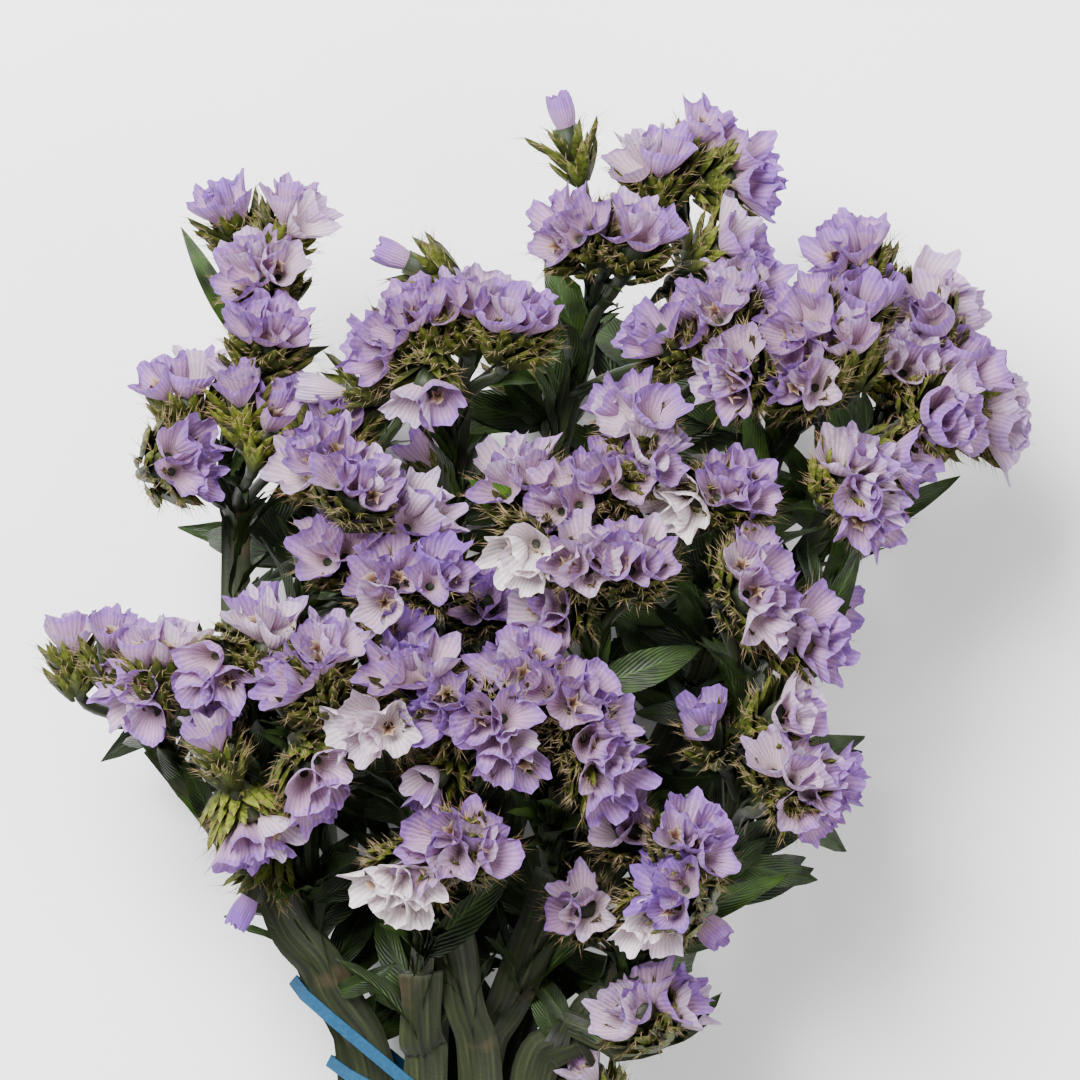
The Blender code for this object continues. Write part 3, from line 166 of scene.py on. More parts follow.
# Each stem: its trunk from the cut end through the band to the fork, its limbs onwards from the fork,
# and the heads on each limb. All points are x, y, z in millimetres.
# A head is x, y, how far it is sunk below the dome, the way it faces in plan, how far it looks up,
# the way its row of florets runs, and how many florets it has. Angles are in degrees.
STEMS = {
    "far_left": {
        "trunk": [(-44, -196, 1.4), (-39, -90, 13), (-37, -6, 27), (-42, 14, 32), (-48, 28, 40)],
        "limbs": {
            "outer": {
                "path": [(-48, 28, 40), (-60, 44, 46), (-70, 58, 52), (-78, 68, 55)],
                "heads": [
                    (-94, 92, 2, 96, 10, 0, 2),
                    (-85, 93, 3, 88, 14, 0, 2),
                    (-75, 90, 2, 90, 18, 0, 4),
                    (-81, 78, -3, 205, 55, 100, 4),
                    (-65, 81, -2, 250, 58, 60, 4),
                ],
            },
            "inner": {
                "path": [(-48, 28, 40), (-47, 42, 54), (-47, 56, 66), (-47, 68, 72)],
                "heads": [
                    (-54, 95, 6, 90, 30, 90, 4),
                    (-48, 85, 0, 130, 35, 40, 5),
                    (-41, 91, 0, 80, 35, 0, 3),
                    (-35, 72, 0, 205, 60, -20, 4),
                    (-43, 60, 2, 300, 45, 60, 4),
                    (-56, 48, 4, 290, 25, 0, 4),
                    (-60, 35, 16, 240, 8, 0, 1),
                    (-65, 73, 2, 110, 20, 0, 2),
                ],
            },
        },
    },
    "upper_left": {
        "trunk": [(-33, -201, 5), (-34, -90, 20), (-33, -6, 34), (-42, 17, 42), (-52, 38, 50), (-58, 57, 56)],
        "limbs": {
            "tall": {
                "path": [(-58, 57, 56), (-61, 84, 60), (-61, 106, 62), (-61, 124, 62), (-60, 142, 60), (-58, 154, 59)],
                "heads": [
                    (-64, 178, 2, 115, 20, 10, 3),
                    (-47, 176, 2, 60, 25, 60, 4),
                    (-56, 165, -3, 110, 45, 5, 5),
                    (-53, 153, -4, 80, 35, 0, 5),
                    (-71, 143, 0, 100, 20, 0, 4),
                    (-59, 141, -2, 95, 25, 0, 2),
                    (-68, 125, -2, 14, 46, 96, 5),
                    (-52, 136, 4, 70, 25, 0, 2),
                ],
            },
            "near": {
                "path": [(-58, 57, 56), (-54, 80, 62), (-47, 98, 69), (-40, 112, 74)],
                "heads": [
                    (-45, 127, -1, 120, 45, 20, 5),
                    (-40, 135, 9, 90, 30, 0, 3),
                    (-34, 122, 0, 60, 45, -45, 5),
                    (-24, 116, 3, 55, 45, -45, 4),
                    (-44, 139, 6, 172, 8, 0, 1),
                ],
            },
        },
    },
    "mid_left": {
        "trunk": [(-13, -197, 15), (-12, -90, 28), (-12, -6, 41), (-16, 18, 50), (-20, 40, 57)],
        "limbs": {
            "back": {
                "path": [(-20, 40, 57), (-27, 60, 64), (-30, 76, 71), (-30, 88, 76)],
                "heads": [
                    (-40, 110, 0, 100, 50, 20, 4),
                    (-30, 102, -1, 100, 65, 60, 4),
                    (-20, 104, 4, 80, 60, 20, 3),
                    (-11, 100, 14, 90, 50, 0, 3),
                    (-27, 94, 4, 60, 35, 0, 2),
                ],
            },
            "front": {
                "path": [(-20, 40, 57), (-17, 50, 68), (-16, 60, 77), (-15, 66, 81)],
                "heads": [
                    (-25, 86, 0, 100, 45, -20, 4),
                    (-20, 77, -2, 165, 60, 120, 4),
                    (-7, 70, -3, 280, 72, 110, 6),
                    (-23, 60, 8, 230, 40, 0, 2),
                ],
            },
        },
    },
    "low_left": {
        "trunk": [(-24, -203, 12), (-24, -90, 27), (-23, -6, 40), (-24, 8, 46), (-24, 22, 55)],
        "limbs": {
            "only": {
                "path": [(-24, 22, 55), (-23, 30, 64), (-21, 36, 70)],
                "heads": [
                    (-21, 49, -1, 190, 55, 20, 4),
                    (-11, 51, 0, 55, 50, 0, 3),
                    (-28, 40, 0, 245, 55, -30, 5),
                ],
            },
        },
    },
    "arch": {
        "trunk": [(-23, -190, 5), (-25, -90, 18), (-24, -6, 32), (-20, 40, 40), (-17, 74, 50)],
        "limbs": {
            "left": {
                "path": [(-17, 74, 50), (-18, 98, 61), (-18, 120, 69), (-16, 136, 73)],
                "heads": [
                    (-29, 165, 6, 160, 10, 0, 1),
                    (-34, 147, 0, 170, 35, 70, 3),
                    (-27, 155, -1, 122, 32, 35, 5),
                    (-15, 158, -1, 95, 35, 5, 4),
                    (-4, 155, -2, 75, 38, -10, 5),
                    (-23, 136, -4, 255, 45, 90, 2),
                ],
            },
            "middle": {
                "path": [(-17, 74, 50), (-6, 90, 66), (6, 104, 80), (14, 112, 85)],
                "heads": [
                    (17, 136, 0, 120, 45, -50, 4),
                    (24, 127, 0, 40, 45, -40, 3),
                    (16, 124, 2, 90, 60, 0, 4),
                    (5, 119, 0, 120, 60, 20, 4),
                    (-5, 124, 9, 100, 45, 30, 4),
                    (39, 121, 0, 60, 50, 0, 5),
                    (27, 117, 0, 205, 60, 0, 3),
                ],
            },
        },
    },
    "crown": {
        "trunk": [(-12, -199, 1.4), (-19, -90, 11), (-20, -6, 24), (-10, 40, 27), (0, 84, 36)],
        "limbs": {
            "tip": {
                "path": [(0, 84, 38), (0, 112, 50), (6, 138, 60), (10, 156, 64)],
                "heads": [
                    (4, 194, 4, 108, 10, 0, 1),
                    (5, 172, -2, 130, 45, 30, 5),
                    (20, 172, -1, 70, 40, -30, 4),
                    (20, 150, 4, 150, 32, 60, 3),
                ],
            },
            "right_tip": {
                "path": [(0, 84, 38), (12, 112, 44), (24, 142, 48), (32, 162, 50)],
                "heads": [
                    (22, 187, 3, 100, 30, 0, 4),
                    (36, 192, 3, 52, 15, -50, 3),
                    (44, 181, 0, 5, 30, 90, 4),
                    (41, 170, 4, 30, 20, 20, 3),
                    (33, 157, -2, 122, 38, 45, 6),
                    (42, 163, 0, 60, 35, 10, 3),
                ],
            },
        },
    },
    "upper_right": {
        "trunk": [(5, -204, 1.4), (-4, -90, 12), (-8, -6, 25), (10, 36, 28), (30, 74, 38)],
        "limbs": {
            "inner": {
                "path": [(30, 74, 38), (38, 98, 56), (44, 118, 66), (48, 132, 70)],
                "heads": [
                    (61, 169, 2, 112, 30, 0, 4),
                    (62, 159, 2, 90, 40, -10, 4),
                    (50, 154, 0, 130, 45, 40, 4),
                    (60, 151, -6, 98, 34, 0, 3),
                    (35, 142, 0, 170, 46, 96, 5),
                    (49, 142, -3, 130, 55, 0, 5),
                ],
            },
            "outer": {
                "path": [(30, 74, 38), (48, 98, 48), (64, 122, 56), (72, 136, 58)],
                "heads": [
                    (75, 156, 2, 130, 40, -60, 4),
                    (83, 159, 4, 35, 30, -60, 4),
                    (73, 147, -1, 74, 46, 4, 5),
                    (88, 146, 2, 40, 22, -20, 4),
                ],
            },
        },
    },
    "right": {
        "trunk": [(18, -194, 3), (9, -90, 17), (4, -6, 30), (20, 20, 36), (37, 44, 46)],
        "limbs": {
            "upper": {
                "path": [(37, 44, 46), (48, 72, 56), (58, 98, 64), (62, 110, 66)],
                "heads": [
                    (82, 134, -3, 10, 50, 108, 5),
                    (95, 133, 2, 355, 22, 90, 4),
                    (74, 124, 4, 340, 35, 0, 2),
                    (64, 124, -2, 40, 45, -40, 5),
                    (65, 114, -2, 300, 55, -80, 4),
                ],
            },
            "lower": {
                "path": [(37, 44, 46), (40, 56, 60), (41, 70, 70), (41, 80, 74)],
                "heads": [
                    (44, 100, -2, 20, 55, 110, 7),
                    (56, 90, 2, 0, 40, 90, 4),
                    (51, 77, 2, 30, 38, 0, 3),
                    (32, 75, 14, 110, 40, 0, 2),
                    (51, 66, -2, 55, 45, -40, 4),
                    (55, 58, -2, 330, 48, 60, 5),
                    (61, 62, 8, 15, 18, 0, 2),
                ],
            },
        },
    },
    "centre": {
        "trunk": [(-6, -188, 9), (-11, -90, 21), (-13, -6, 34), (-5, 18, 44), (3, 42, 58)],
        "limbs": {
            "tall": {
                "path": [(3, 42, 58), (7, 62, 70), (10, 80, 80), (11, 90, 84)],
                "heads": [
                    (-2, 105, -2, 235, 62, -40, 4),
                    (8, 107, -1, 90, 65, 0, 3),
                    (18, 108, -1, 85, 50, 0, 5),
                    (0, 93, 8, 200, 55, 20, 4),
                ],
            },
            "short": {
                "path": [(3, 42, 58), (2, 50, 68), (2, 58, 77), (2, 66, 82)],
                "heads": [
                    (-5, 86, 0, 110, 50, -10, 4),
                    (6, 81, -2, 80, 60, -30, 4),
                    (12, 72, -2, 10, 60, 90, 4),
                    (14, 63, -1, 320, 60, 60, 4),
                ],
            },
        },
    },
    "low_right": {
        "trunk": [(8, -200, 10), (1, -90, 24), (-2, -6, 38), (7, 8, 45), (15, 17, 50)],
        "limbs": {
            "upper": {
                "path": [(15, 17, 50), (19, 27, 58), (22, 34, 65)],
                "heads": [
                    (31, 52, 0, 60, 50, -20, 5),
                    (24, 42, 0, 150, 45, 70, 4),
                    (23, 33, 4, 260, 60, 0, 4),
                    (34, 32, 10, 320, 25, 0, 1),
                    (7, 38, 18, 120, 60, 0, 3),
                    (17, 55, 12, 100, 50, 0, 3),
                ],
            },
            "lower": {
                "path": [(7, 8, 45), (16, 6, 48), (24, 8, 50)],
                "heads": [
                    (18, 17, 16, 130, 40, 20, 4),
                    (29, 18, 20, 35, 20, 0, 3),
                    (9, 3, 26, 120, 20, 0, 2),
                ],
            },
        },
    },
}

# Heads on the underside, which the surface presses up into a flatter layer. Each is the stem and limb
# that carries it, then x, y, facing, look, row and florets as above. Its height follows the underside.
UNDER_HEADS = [
    ("far_left", "outer", -74, 74, 220, 0, 4),
    ("far_left", "inner", -50, 62, 240, 0, 4),
    ("upper_left", "tall", -52, 112, 160, 60, 4),
    ("upper_left", "tall", -54, 140, 120, 20, 4),
    ("upper_left", "near", -34, 92, 200, 80, 4),
    ("arch", "left", -22, 130, 110, 30, 4),
    ("mid_left", "back", -26, 66, 250, 10, 4),
    ("crown", "tip", -4, 152, 100, 0, 4),
    ("crown", "right_tip", 26, 148, 70, 60, 4),
    ("arch", "middle", 2, 108, 90, 30, 4),
    ("upper_right", "inner", 46, 118, 40, 80, 4),
    ("upper_right", "outer", 72, 122, 20, 90, 4),
    ("right", "lower", 46, 70, 310, 20, 4),
    ("centre", "short", 8, 64, 270, 0, 4),
    ("right", "upper", 62, 92, 340, 60, 4),
]

# Leaves: the stem that carries each, its root, its tip and its width, in millimetres.
LEAVES = [
    ("upper_left", (-63, 152, 60), (-72, 172, 62), 5.5),
    ("upper_left", (-56, 138, 60), (-42, 148, 66), 5.0),
    ("upper_left", (-61, 112, 60), (-69, 122, 62), 5.0),
    ("arch", (-12, 112, 74), (-14, 121, 90), 8.5),
    ("crown", (10, 150, 64), (1, 166, 66), 8.0),
    ("crown", (28, 152, 49), (41, 175, 58), 8.0),
    ("upper_right", (42, 120, 68), (40, 140, 88), 6.5),
    ("right", (60, 108, 66), (84, 122, 66), 6.0),
    ("right", (48, 84, 68), (64, 108, 74), 7.5),
    ("right", (41, 66, 64), (62, 46, 50), 8.0),
    ("centre", (8, 76, 82), (32, 88, 78), 9.0),
    ("low_right", (20, 24, 56), (38, 28, 50), 4.0),
    ("low_right", (22, 28, 62), (50, 42, 58), 7.0),
    ("low_left", (-14, 26, 60), (-4, 46, 70), 10.0),
    ("far_left", (-38, 16, 38), (-52, 34, 36), 4.5),
    ("far_left", (-62, 48, 51), (-72, 66, 62), 6.0),
]


def smooth_path(points, steps):
    """Points on a Catmull-Rom curve through the given ones, with that many steps for each stretch."""
    p = [Vector(q) for q in points]
    p = [p[0] * 2 - p[1]] + p + [p[-1] * 2 - p[-2]]
    out = []
    for i in range(1, len(p) - 2):
        for k in range(steps):
            t = k / steps
            a, b, c, d = p[i - 1], p[i], p[i + 1], p[i + 2]
            bend = (a * 2 - b * 5 + c * 4 - d) * t * t + (b * 3 - a - c * 3 + d) * t ** 3
            out.append((b * 2 + (c - a) * t + bend) * 0.5)
    return out + [p[-2]]


def dome_height(x, y, half_height):
    """Height of the dome over a place in plan, from its middle upwards, or downwards if half_height is negative."""
    across = (x - DOME_MIDDLE[0]) / DOME_HALF[0]
    along = (y - DOME_MIDDLE[1]) / DOME_HALF[1]
    inside = max(0.0, 1.0 - across ** 2 - along ** 2)
    return DOME_MIDDLE[2] + half_height * math.sqrt(inside)


def facing(face, look):
    """Unit vector that points face degrees round from +X in plan, and look degrees up."""
    f, u = math.radians(face), math.radians(look)
    return Vector((math.cos(f) * math.cos(u), math.sin(f) * math.cos(u), math.sin(u)))


def all_heads():
    """Every head as a dict: its stem, limb, centre, the way it faces, its row and its florets."""
    found = []
    for stem, spec in STEMS.items():
        for limb, part in spec["limbs"].items():
            for x, y, sunk, face, look, run, count in part["heads"]:
                z = dome_height(x, y, DOME_HALF[2]) - sunk
                found.append(dict(stem=stem, limb=limb, at=Vector((x, y, z)), face=face, look=look, run=run, count=count))
    for stem, limb, x, y, face, run, count in UNDER_HEADS:
        z = max(LOWEST_HEAD, dome_height(x, y, -UNDER_HALF_HEIGHT))
        found.append(dict(stem=stem, limb=limb, at=Vector((x, y, z)), face=face, look=-25, run=run, count=count))
    for head in found:
        head["out"] = facing(head["face"], head["look"])
        row = facing(head["run"], 0)
        head["row"] = (row - head["out"] * row.dot(head["out"])).normalized()
        head["side"] = head["out"].cross(head["row"]).normalized()
        head["size"] = HEAD_RADIUS + HEAD_GROWTH * head["count"]
    return found


def spread_in_depth(heads):
    """Moves heads that crowd each other apart, up and down only, so that their places in plan stay."""
    for _ in range(40):
        for i, a in enumerate(heads):
            for b in heads[i + 1:]:
                if a["stem"] == b["stem"]:
                    continue
                apart = b["at"] - a["at"]
                flat = math.hypot(apart.x, apart.y)
                reach = (a["size"] + b["size"]) * 0.92
                if flat >= reach or abs(apart.z) >= math.sqrt(reach ** 2 - flat ** 2):
                    continue
                push = (math.sqrt(reach ** 2 - flat ** 2) - abs(apart.z)) * 0.25
                up = 1.0 if apart.z >= 0 else -1.0
                a["at"].z = max(LOWEST_HEAD, a["at"].z - up * push)
                b["at"].z = max(LOWEST_HEAD, b["at"].z + up * push)


def cup_foot(head):
    """The lowest point of a head's cup. A fused head's cup is raised into its calyces."""
    raised = FUSE_DEPTH if head["fused"] else 0.0
    return head["at"] - head["out"] * (ROOT_DEPTH + CUP_DEPTH + GAP - raised)


def branch_path(head, limb_points):
    """Points from a limb to the head's cup, leaving low down and arriving from behind, and the limb point."""
    foot = cup_foot(head)
    start = min(range(len(limb_points)), key=lambda i: (limb_points[i] - foot).length)
    while start > 1 and limb_points[start].y > foot.y - BRANCH_RISE:
        start -= 1
    best = limb_points[start]
    span = (foot - best).length
    leave = best + (Vector((0, 1, 0.15)) + (foot - best).normalized()) * (span * 0.22)
    arrive = foot - head["out"] * min(span * 0.35, 9.0)
    points = []
    for t in (0.0, 0.4, 0.75, 1.0):
        s = 1 - t
        points.append(best * s ** 3 + leave * (3 * s * s * t) + arrive * (3 * s * t * t) + foot * t ** 3)
    points.append(foot + head["out"] * CUP_DEPTH)
    return points, start


def all_strands(heads):
    """Trunks, limbs and branches as dicts: stem, kind, points, radius, the strand they grow from, and where."""
    strands = []
    for stem, spec in STEMS.items():
        trunk = smooth_path(spec["trunk"], TRUNK_STEPS)
        trunk_index = len(strands)
        strands.append(dict(stem=stem, kind="trunk", points=trunk, parent=None, at=0, head=None))
        for limb, part in spec["limbs"].items():
            path = smooth_path(part["path"], LIMB_STEPS)
            root = min(range(len(trunk)), key=lambda i: (trunk[i] - path[0]).length)
            root = max(1, root - 1)
            points = [trunk[root].copy()] + path
            limb_index = len(strands)
            strands.append(dict(stem=stem, kind="limb", points=points, parent=trunk_index, at=root, head=None))
            for number, head in enumerate(heads):
                if head["stem"] == stem and head["limb"] == limb:
                    path, start = branch_path(head, points)
                    strands.append(dict(stem=stem, kind="branch", points=path, parent=limb_index, at=start, head=number))
    return strands


def nearest_between(p, q, r, s):
    """For arrays of segments p-q and r-s, how far along each their nearest points lie, from 0 to 1."""
    d1, d2, w = q - p, s - r, p - r
    a, e = (d1 * d1).sum(1) + 1e-9, (d2 * d2).sum(1) + 1e-9
    b, c, f = (d1 * d2).sum(1), (d1 * w).sum(1), (d2 * w).sum(1)
    first = np.clip((b * f - c * e) / np.maximum(a * e - b * b, 1e-9), 0, 1)
    second = np.clip((b * first + f) / e, 0, 1)
    first = np.clip((b * second - c) / a, 0, 1)
    return first, second


def bend_clear(strands, heads):
    """Bends the strands of different stems clear of each other and of the calyces of other heads."""
    points, free, ties, segments = [], [], [], []
    stems = list(STEMS)
    for strand in strands:
        strand["first"] = len(points)
        last = len(strand["points"]) - 1
        for i, point in enumerate(strand["points"]):
            points.append(list(point))
            if strand["kind"] == "trunk":
                free.append(point.y > HAND_LAID_TO)
            elif strand["kind"] == "limb":
                free.append(i > 0)
            else:
                free.append(0 < i < last - 1)
        if strand["parent"] is not None:
            ties.append((strand["first"], strands[strand["parent"]]["first"] + strand["at"]))
        number = -1 if strand["head"] is None else strand["head"]
        for i in range(last):
            radius = STRAND_RADIUS["cup" if strand["kind"] == "branch" and i == last - 1 else strand["kind"]]
            segments.append((strand["first"] + i, strand["first"] + i + 1, radius, stems.index(strand["stem"]), number, 0))
    for number, head in enumerate(heads):
        first = len(points)
        points.extend([list(head["at"] - head["out"] * 3), list(head["at"] + head["out"] * 3)])
        free.extend([False, False])
        segments.append((first, first + 1, HEAD_CLEARANCE, stems.index(head["stem"]), number, 1))
    points, free, segments = np.array(points), np.array(free, float), np.array(segments)
    ends = segments[:, :2].astype(int)
    i, j = np.triu_indices(len(segments), 1)
    stem, number, is_head = segments[:, 3], segments[:, 4], segments[:, 5]
    both = (is_head[i] + is_head[j]) < 2
    apart = (stem[i] != stem[j]) | ((is_head[i] + is_head[j] == 1) & (number[i] != number[j]))
    keep = both & apart
    i, j = i[keep], j[keep]
    for turn in range(BEND_ROUNDS):
        if turn % 15 == 0:
            middle = (points[ends[:, 0]] + points[ends[:, 1]]) / 2
            half = np.linalg.norm(points[ends[:, 1]] - points[ends[:, 0]], axis=1) / 2
            close = np.linalg.norm(middle[i] - middle[j], axis=1) < half[i] + half[j] + 12
            a, b = i[close], j[close]
        p, q, r, s = points[ends[a, 0]], points[ends[a, 1]], points[ends[b, 0]], points[ends[b, 1]]
        t, u = nearest_between(p, q, r, s)
        gap = (r + (s - r) * u[:, None]) - (p + (q - p) * t[:, None])
        length = np.linalg.norm(gap, axis=1) + 1e-6
        short = np.maximum(0, segments[a, 2] + segments[b, 2] + CLEARANCE - length)
        push = gap / length[:, None] * (short * 0.3)[:, None]
        move = np.zeros_like(points)
        np.add.at(move, ends[a, 0], -push * (1 - t)[:, None])
        np.add.at(move, ends[a, 1], -push * t[:, None])
        np.add.at(move, ends[b, 0], push * (1 - u)[:, None])
        np.add.at(move, ends[b, 1], push * u[:, None])
        size = np.linalg.norm(move, axis=1)
        move *= np.minimum(1, 1.5 / (size + 1e-9))[:, None]
        points += move * free[:, None]
        for child, parent in ties:
            points[child] = points[parent]
    for strand in strands:
        first = strand["first"]
        strand["points"] = [Vector(points[first + k]) for k in range(len(strand["points"]))]


PLAN = {}


def plan():
    """The heads and strands of the bunch, worked out once and kept."""
    if not PLAN:
        heads = all_heads()
        spread_in_depth(heads)
        for head in heads:
            head["fused"] = grown_into_stem(head)
        strands = all_strands(heads)
        bend_clear(strands, heads)
        PLAN.update(heads=heads, strands=strands)
    return PLAN


def grown_into_stem(head):
    """Whether the solid that holds a head's calyces is its stem's, and not one of the nodes of heads."""
    tip = (head["at"] + head["out"] * 3 + TO_ORIGIN) * MM
    nearest = {}
    for name, node in frame["nodes"].items():
        if name.startswith(head["stem"]):
            nearest[name] = min((v.co - tip).length for v in node.data.vertices)
    return min(nearest, key=nearest.get).endswith("_stem")


# Materials

BLEND = {"data_type": "RGBA"}
MULTIPLY = {"data_type": "RGBA", "blend_type": "MULTIPLY"}


def linear(colour):
    """An sRGB hex colour as linear values for a shader."""
    parts = [int(colour[i:i + 2], 16) / 255 for i in (1, 3, 5)]
    return tuple(c / 12.92 if c <= 0.04045 else ((c + 0.055) / 1.055) ** 2.4 for c in parts) + (1.0,)


def node(tree, kind, settings=None, stops=(), **links):
    """Adds a node with its settings, its ramp's stops if it has any, and its inputs set or linked.

    An input is given by its name, or by its number after an underscore.
    """
    made = tree.nodes.new(kind)
    for key, value in (settings or {}).items():
        setattr(made, key, value)
    for number, (place, colour) in enumerate(stops):
        elements = made.color_ramp.elements
        element = elements[number] if number < len(elements) else elements.new(place)
        element.position = place
        element.color = linear(colour)
    for key, value in links.items():
        socket = made.inputs[int(key[1:])] if key[1:].isdigit() else made.inputs[key.replace("_", " ")]
        if isinstance(value, bpy.types.NodeSocket):
            tree.links.new(value, socket)
        else:
            socket.default_value = value
    return made


def blank(name):
    """A new material with an empty node tree."""
    made = bpy.data.materials.new(name)
    made.use_nodes = True
    made.node_tree.nodes.clear()
    return made, made.node_tree


def papery_calyx(settings):
    """Dried calyx, a crumpled membrane: it lets light through, and fine ribs run from its tube to its rim."""
    made, tree = blank("papery_calyx")
    uv = node(tree, "ShaderNodeUVMap", {"uv_map": "UVMap"}).outputs[0]
    split = node(tree, "ShaderNodeSeparateXYZ", Vector=uv)
    around, along = split.outputs[0], split.outputs[1]
    tint = node(tree, "ShaderNodeAttribute", {"attribute_name": "tint"}).outputs["Fac"]
    place = node(tree, "ShaderNodeTexCoord").outputs["Object"]
    blotch = node(tree, "ShaderNodeTexNoise", Vector=place, Scale=1 / (4.0 * MM), Detail=3.0).outputs["Fac"]
    crumple = node(tree, "ShaderNodeTexNoise", Vector=place, Scale=1 / (1.1 * MM), Detail=4.0).outputs["Fac"]
    rise = node(tree, "ShaderNodeMath", {"operation": "MULTIPLY_ADD"}, _0=blotch, _1=0.34, _2=along).outputs[0]
    body = node(tree, "ShaderNodeValToRGB", stops=[(0.18, settings.calyx_foot), (0.50, settings.calyx_middle), (0.92, settings.calyx_limb),
                             (1.12, settings.calyx_rim)], Fac=rise).outputs[0]
    strong = node(tree, "ShaderNodeValToRGB", stops=[(0.18, settings.calyx_foot), (0.45, settings.calyx_limb), (0.95, settings.calyx_violet)], Fac=rise).outputs[0]
    white = node(tree, "ShaderNodeValToRGB", stops=[(0.1, settings.calyx_foot), (0.5, settings.calyx_bleached)], Fac=rise).outputs[0]
    to_violet = node(tree, "ShaderNodeMapRange", Value=tint, **{"_1": 0.5, "_2": 1.0}).outputs[0]
    to_white = node(tree, "ShaderNodeMapRange", Value=tint, **{"_1": 0.5, "_2": 0.0}).outputs[0]
    colour = node(tree, "ShaderNodeMix", BLEND, _0=to_white, _6=node(tree, "ShaderNodeMix", BLEND, _0=to_violet, _6=body, _7=strong).outputs[2], _7=white).outputs[2]
    turns = node(tree, "ShaderNodeMath", {"operation": "MULTIPLY"}, _0=around, _1=math.tau * RIBS).outputs[0]
    wander = node(tree, "ShaderNodeMath", {"operation": "MULTIPLY_ADD"}, _0=crumple, _1=5.0, _2=turns).outputs[0]
    rib = node(tree, "ShaderNodeMath", {"operation": "SINE"}, _0=wander).outputs[0]
    rib = node(tree, "ShaderNodeMapRange", Value=rib, **{"_1": -1.0, "_2": 1.0}).outputs[0]
    shade = node(tree, "ShaderNodeMix", BLEND, _0=rib, _6=linear("#e4dde4"), _7=linear("#ffffff")).outputs[2]
    colour = node(tree, "ShaderNodeMix", MULTIPLY, _0=1.0, _6=colour, _7=shade).outputs[2]
    height = node(tree, "ShaderNodeMath", {"operation": "MULTIPLY_ADD"}, _0=rib, _1=0.5, _2=crumple).outputs[0]
    bump = node(tree, "ShaderNodeBump", Height=height, Strength=0.55, Distance=0.35 * MM).outputs[0]
    skin = node(tree, "ShaderNodeBsdfPrincipled", Base_Color=colour, Normal=bump, Roughness=0.62, IOR=1.45)
    skin.inputs["Specular IOR Level"].default_value = 0.35
    skin.inputs["Sheen Weight"].default_value = 0.12
    through = node(tree, "ShaderNodeBsdfTranslucent", Color=colour, Normal=bump).outputs[0]
    mix = node(tree, "ShaderNodeMixShader", _0=0.38, _1=skin.outputs[0], _2=through).outputs[0]
    node(tree, "ShaderNodeOutputMaterial", Surface=mix)
    return made


def hairy_bract(settings):
    """Dried bract, a leathery green keeled scale: its keel is paler, and bristles at its tip turn straw and pink."""
    made, tree = blank("hairy_bract")
    uv = node(tree, "ShaderNodeUVMap", {"uv_map": "UVMap"}).outputs[0]
    along = node(tree, "ShaderNodeSeparateXYZ", Vector=uv).outputs[1]
    tint = node(tree, "ShaderNodeAttribute", {"attribute_name": "tint"}).outputs["Fac"]
    place = node(tree, "ShaderNodeTexCoord").outputs["Object"]
    grain = node(tree, "ShaderNodeTexNoise", Vector=place, Scale=1 / (1.2 * MM), Detail=3.0).outputs["Fac"]
    dark = node(tree, "ShaderNodeValToRGB", stops=[(0.0, "#151a08"), (0.45, settings.bract_green), (0.7, "#43451c"), (0.8, "#6b5c3a"),
                              (1.0, settings.bristle)], Fac=along).outputs[0]
    bright = node(tree, "ShaderNodeValToRGB", stops=[(0.0, "#303c10"), (0.45, settings.bract_bright), (0.7, "#76802c"), (0.8, "#8a724a"),
                                (1.0, settings.bristle_pink)], Fac=along).outputs[0]
    colour = node(tree, "ShaderNodeMix", BLEND, _0=tint, _6=dark, _7=bright).outputs[2]
    speck = node(tree, "ShaderNodeValToRGB", stops=[(0.3, "#8f8f88"), (0.6, "#ffffff")], Fac=grain).outputs[0]
    colour = node(tree, "ShaderNodeMix", MULTIPLY, _0=1.0, _6=colour, _7=speck).outputs[2]
    bump = node(tree, "ShaderNodeBump", Height=grain, Strength=0.4, Distance=0.3 * MM).outputs[0]
    skin = node(tree, "ShaderNodeBsdfPrincipled", Base_Color=colour, Normal=bump, Roughness=0.6, IOR=1.45)
    skin.inputs["Specular IOR Level"].default_value = 0.3
    node(tree, "ShaderNodeOutputMaterial", Surface=skin.outputs[0])
    return made


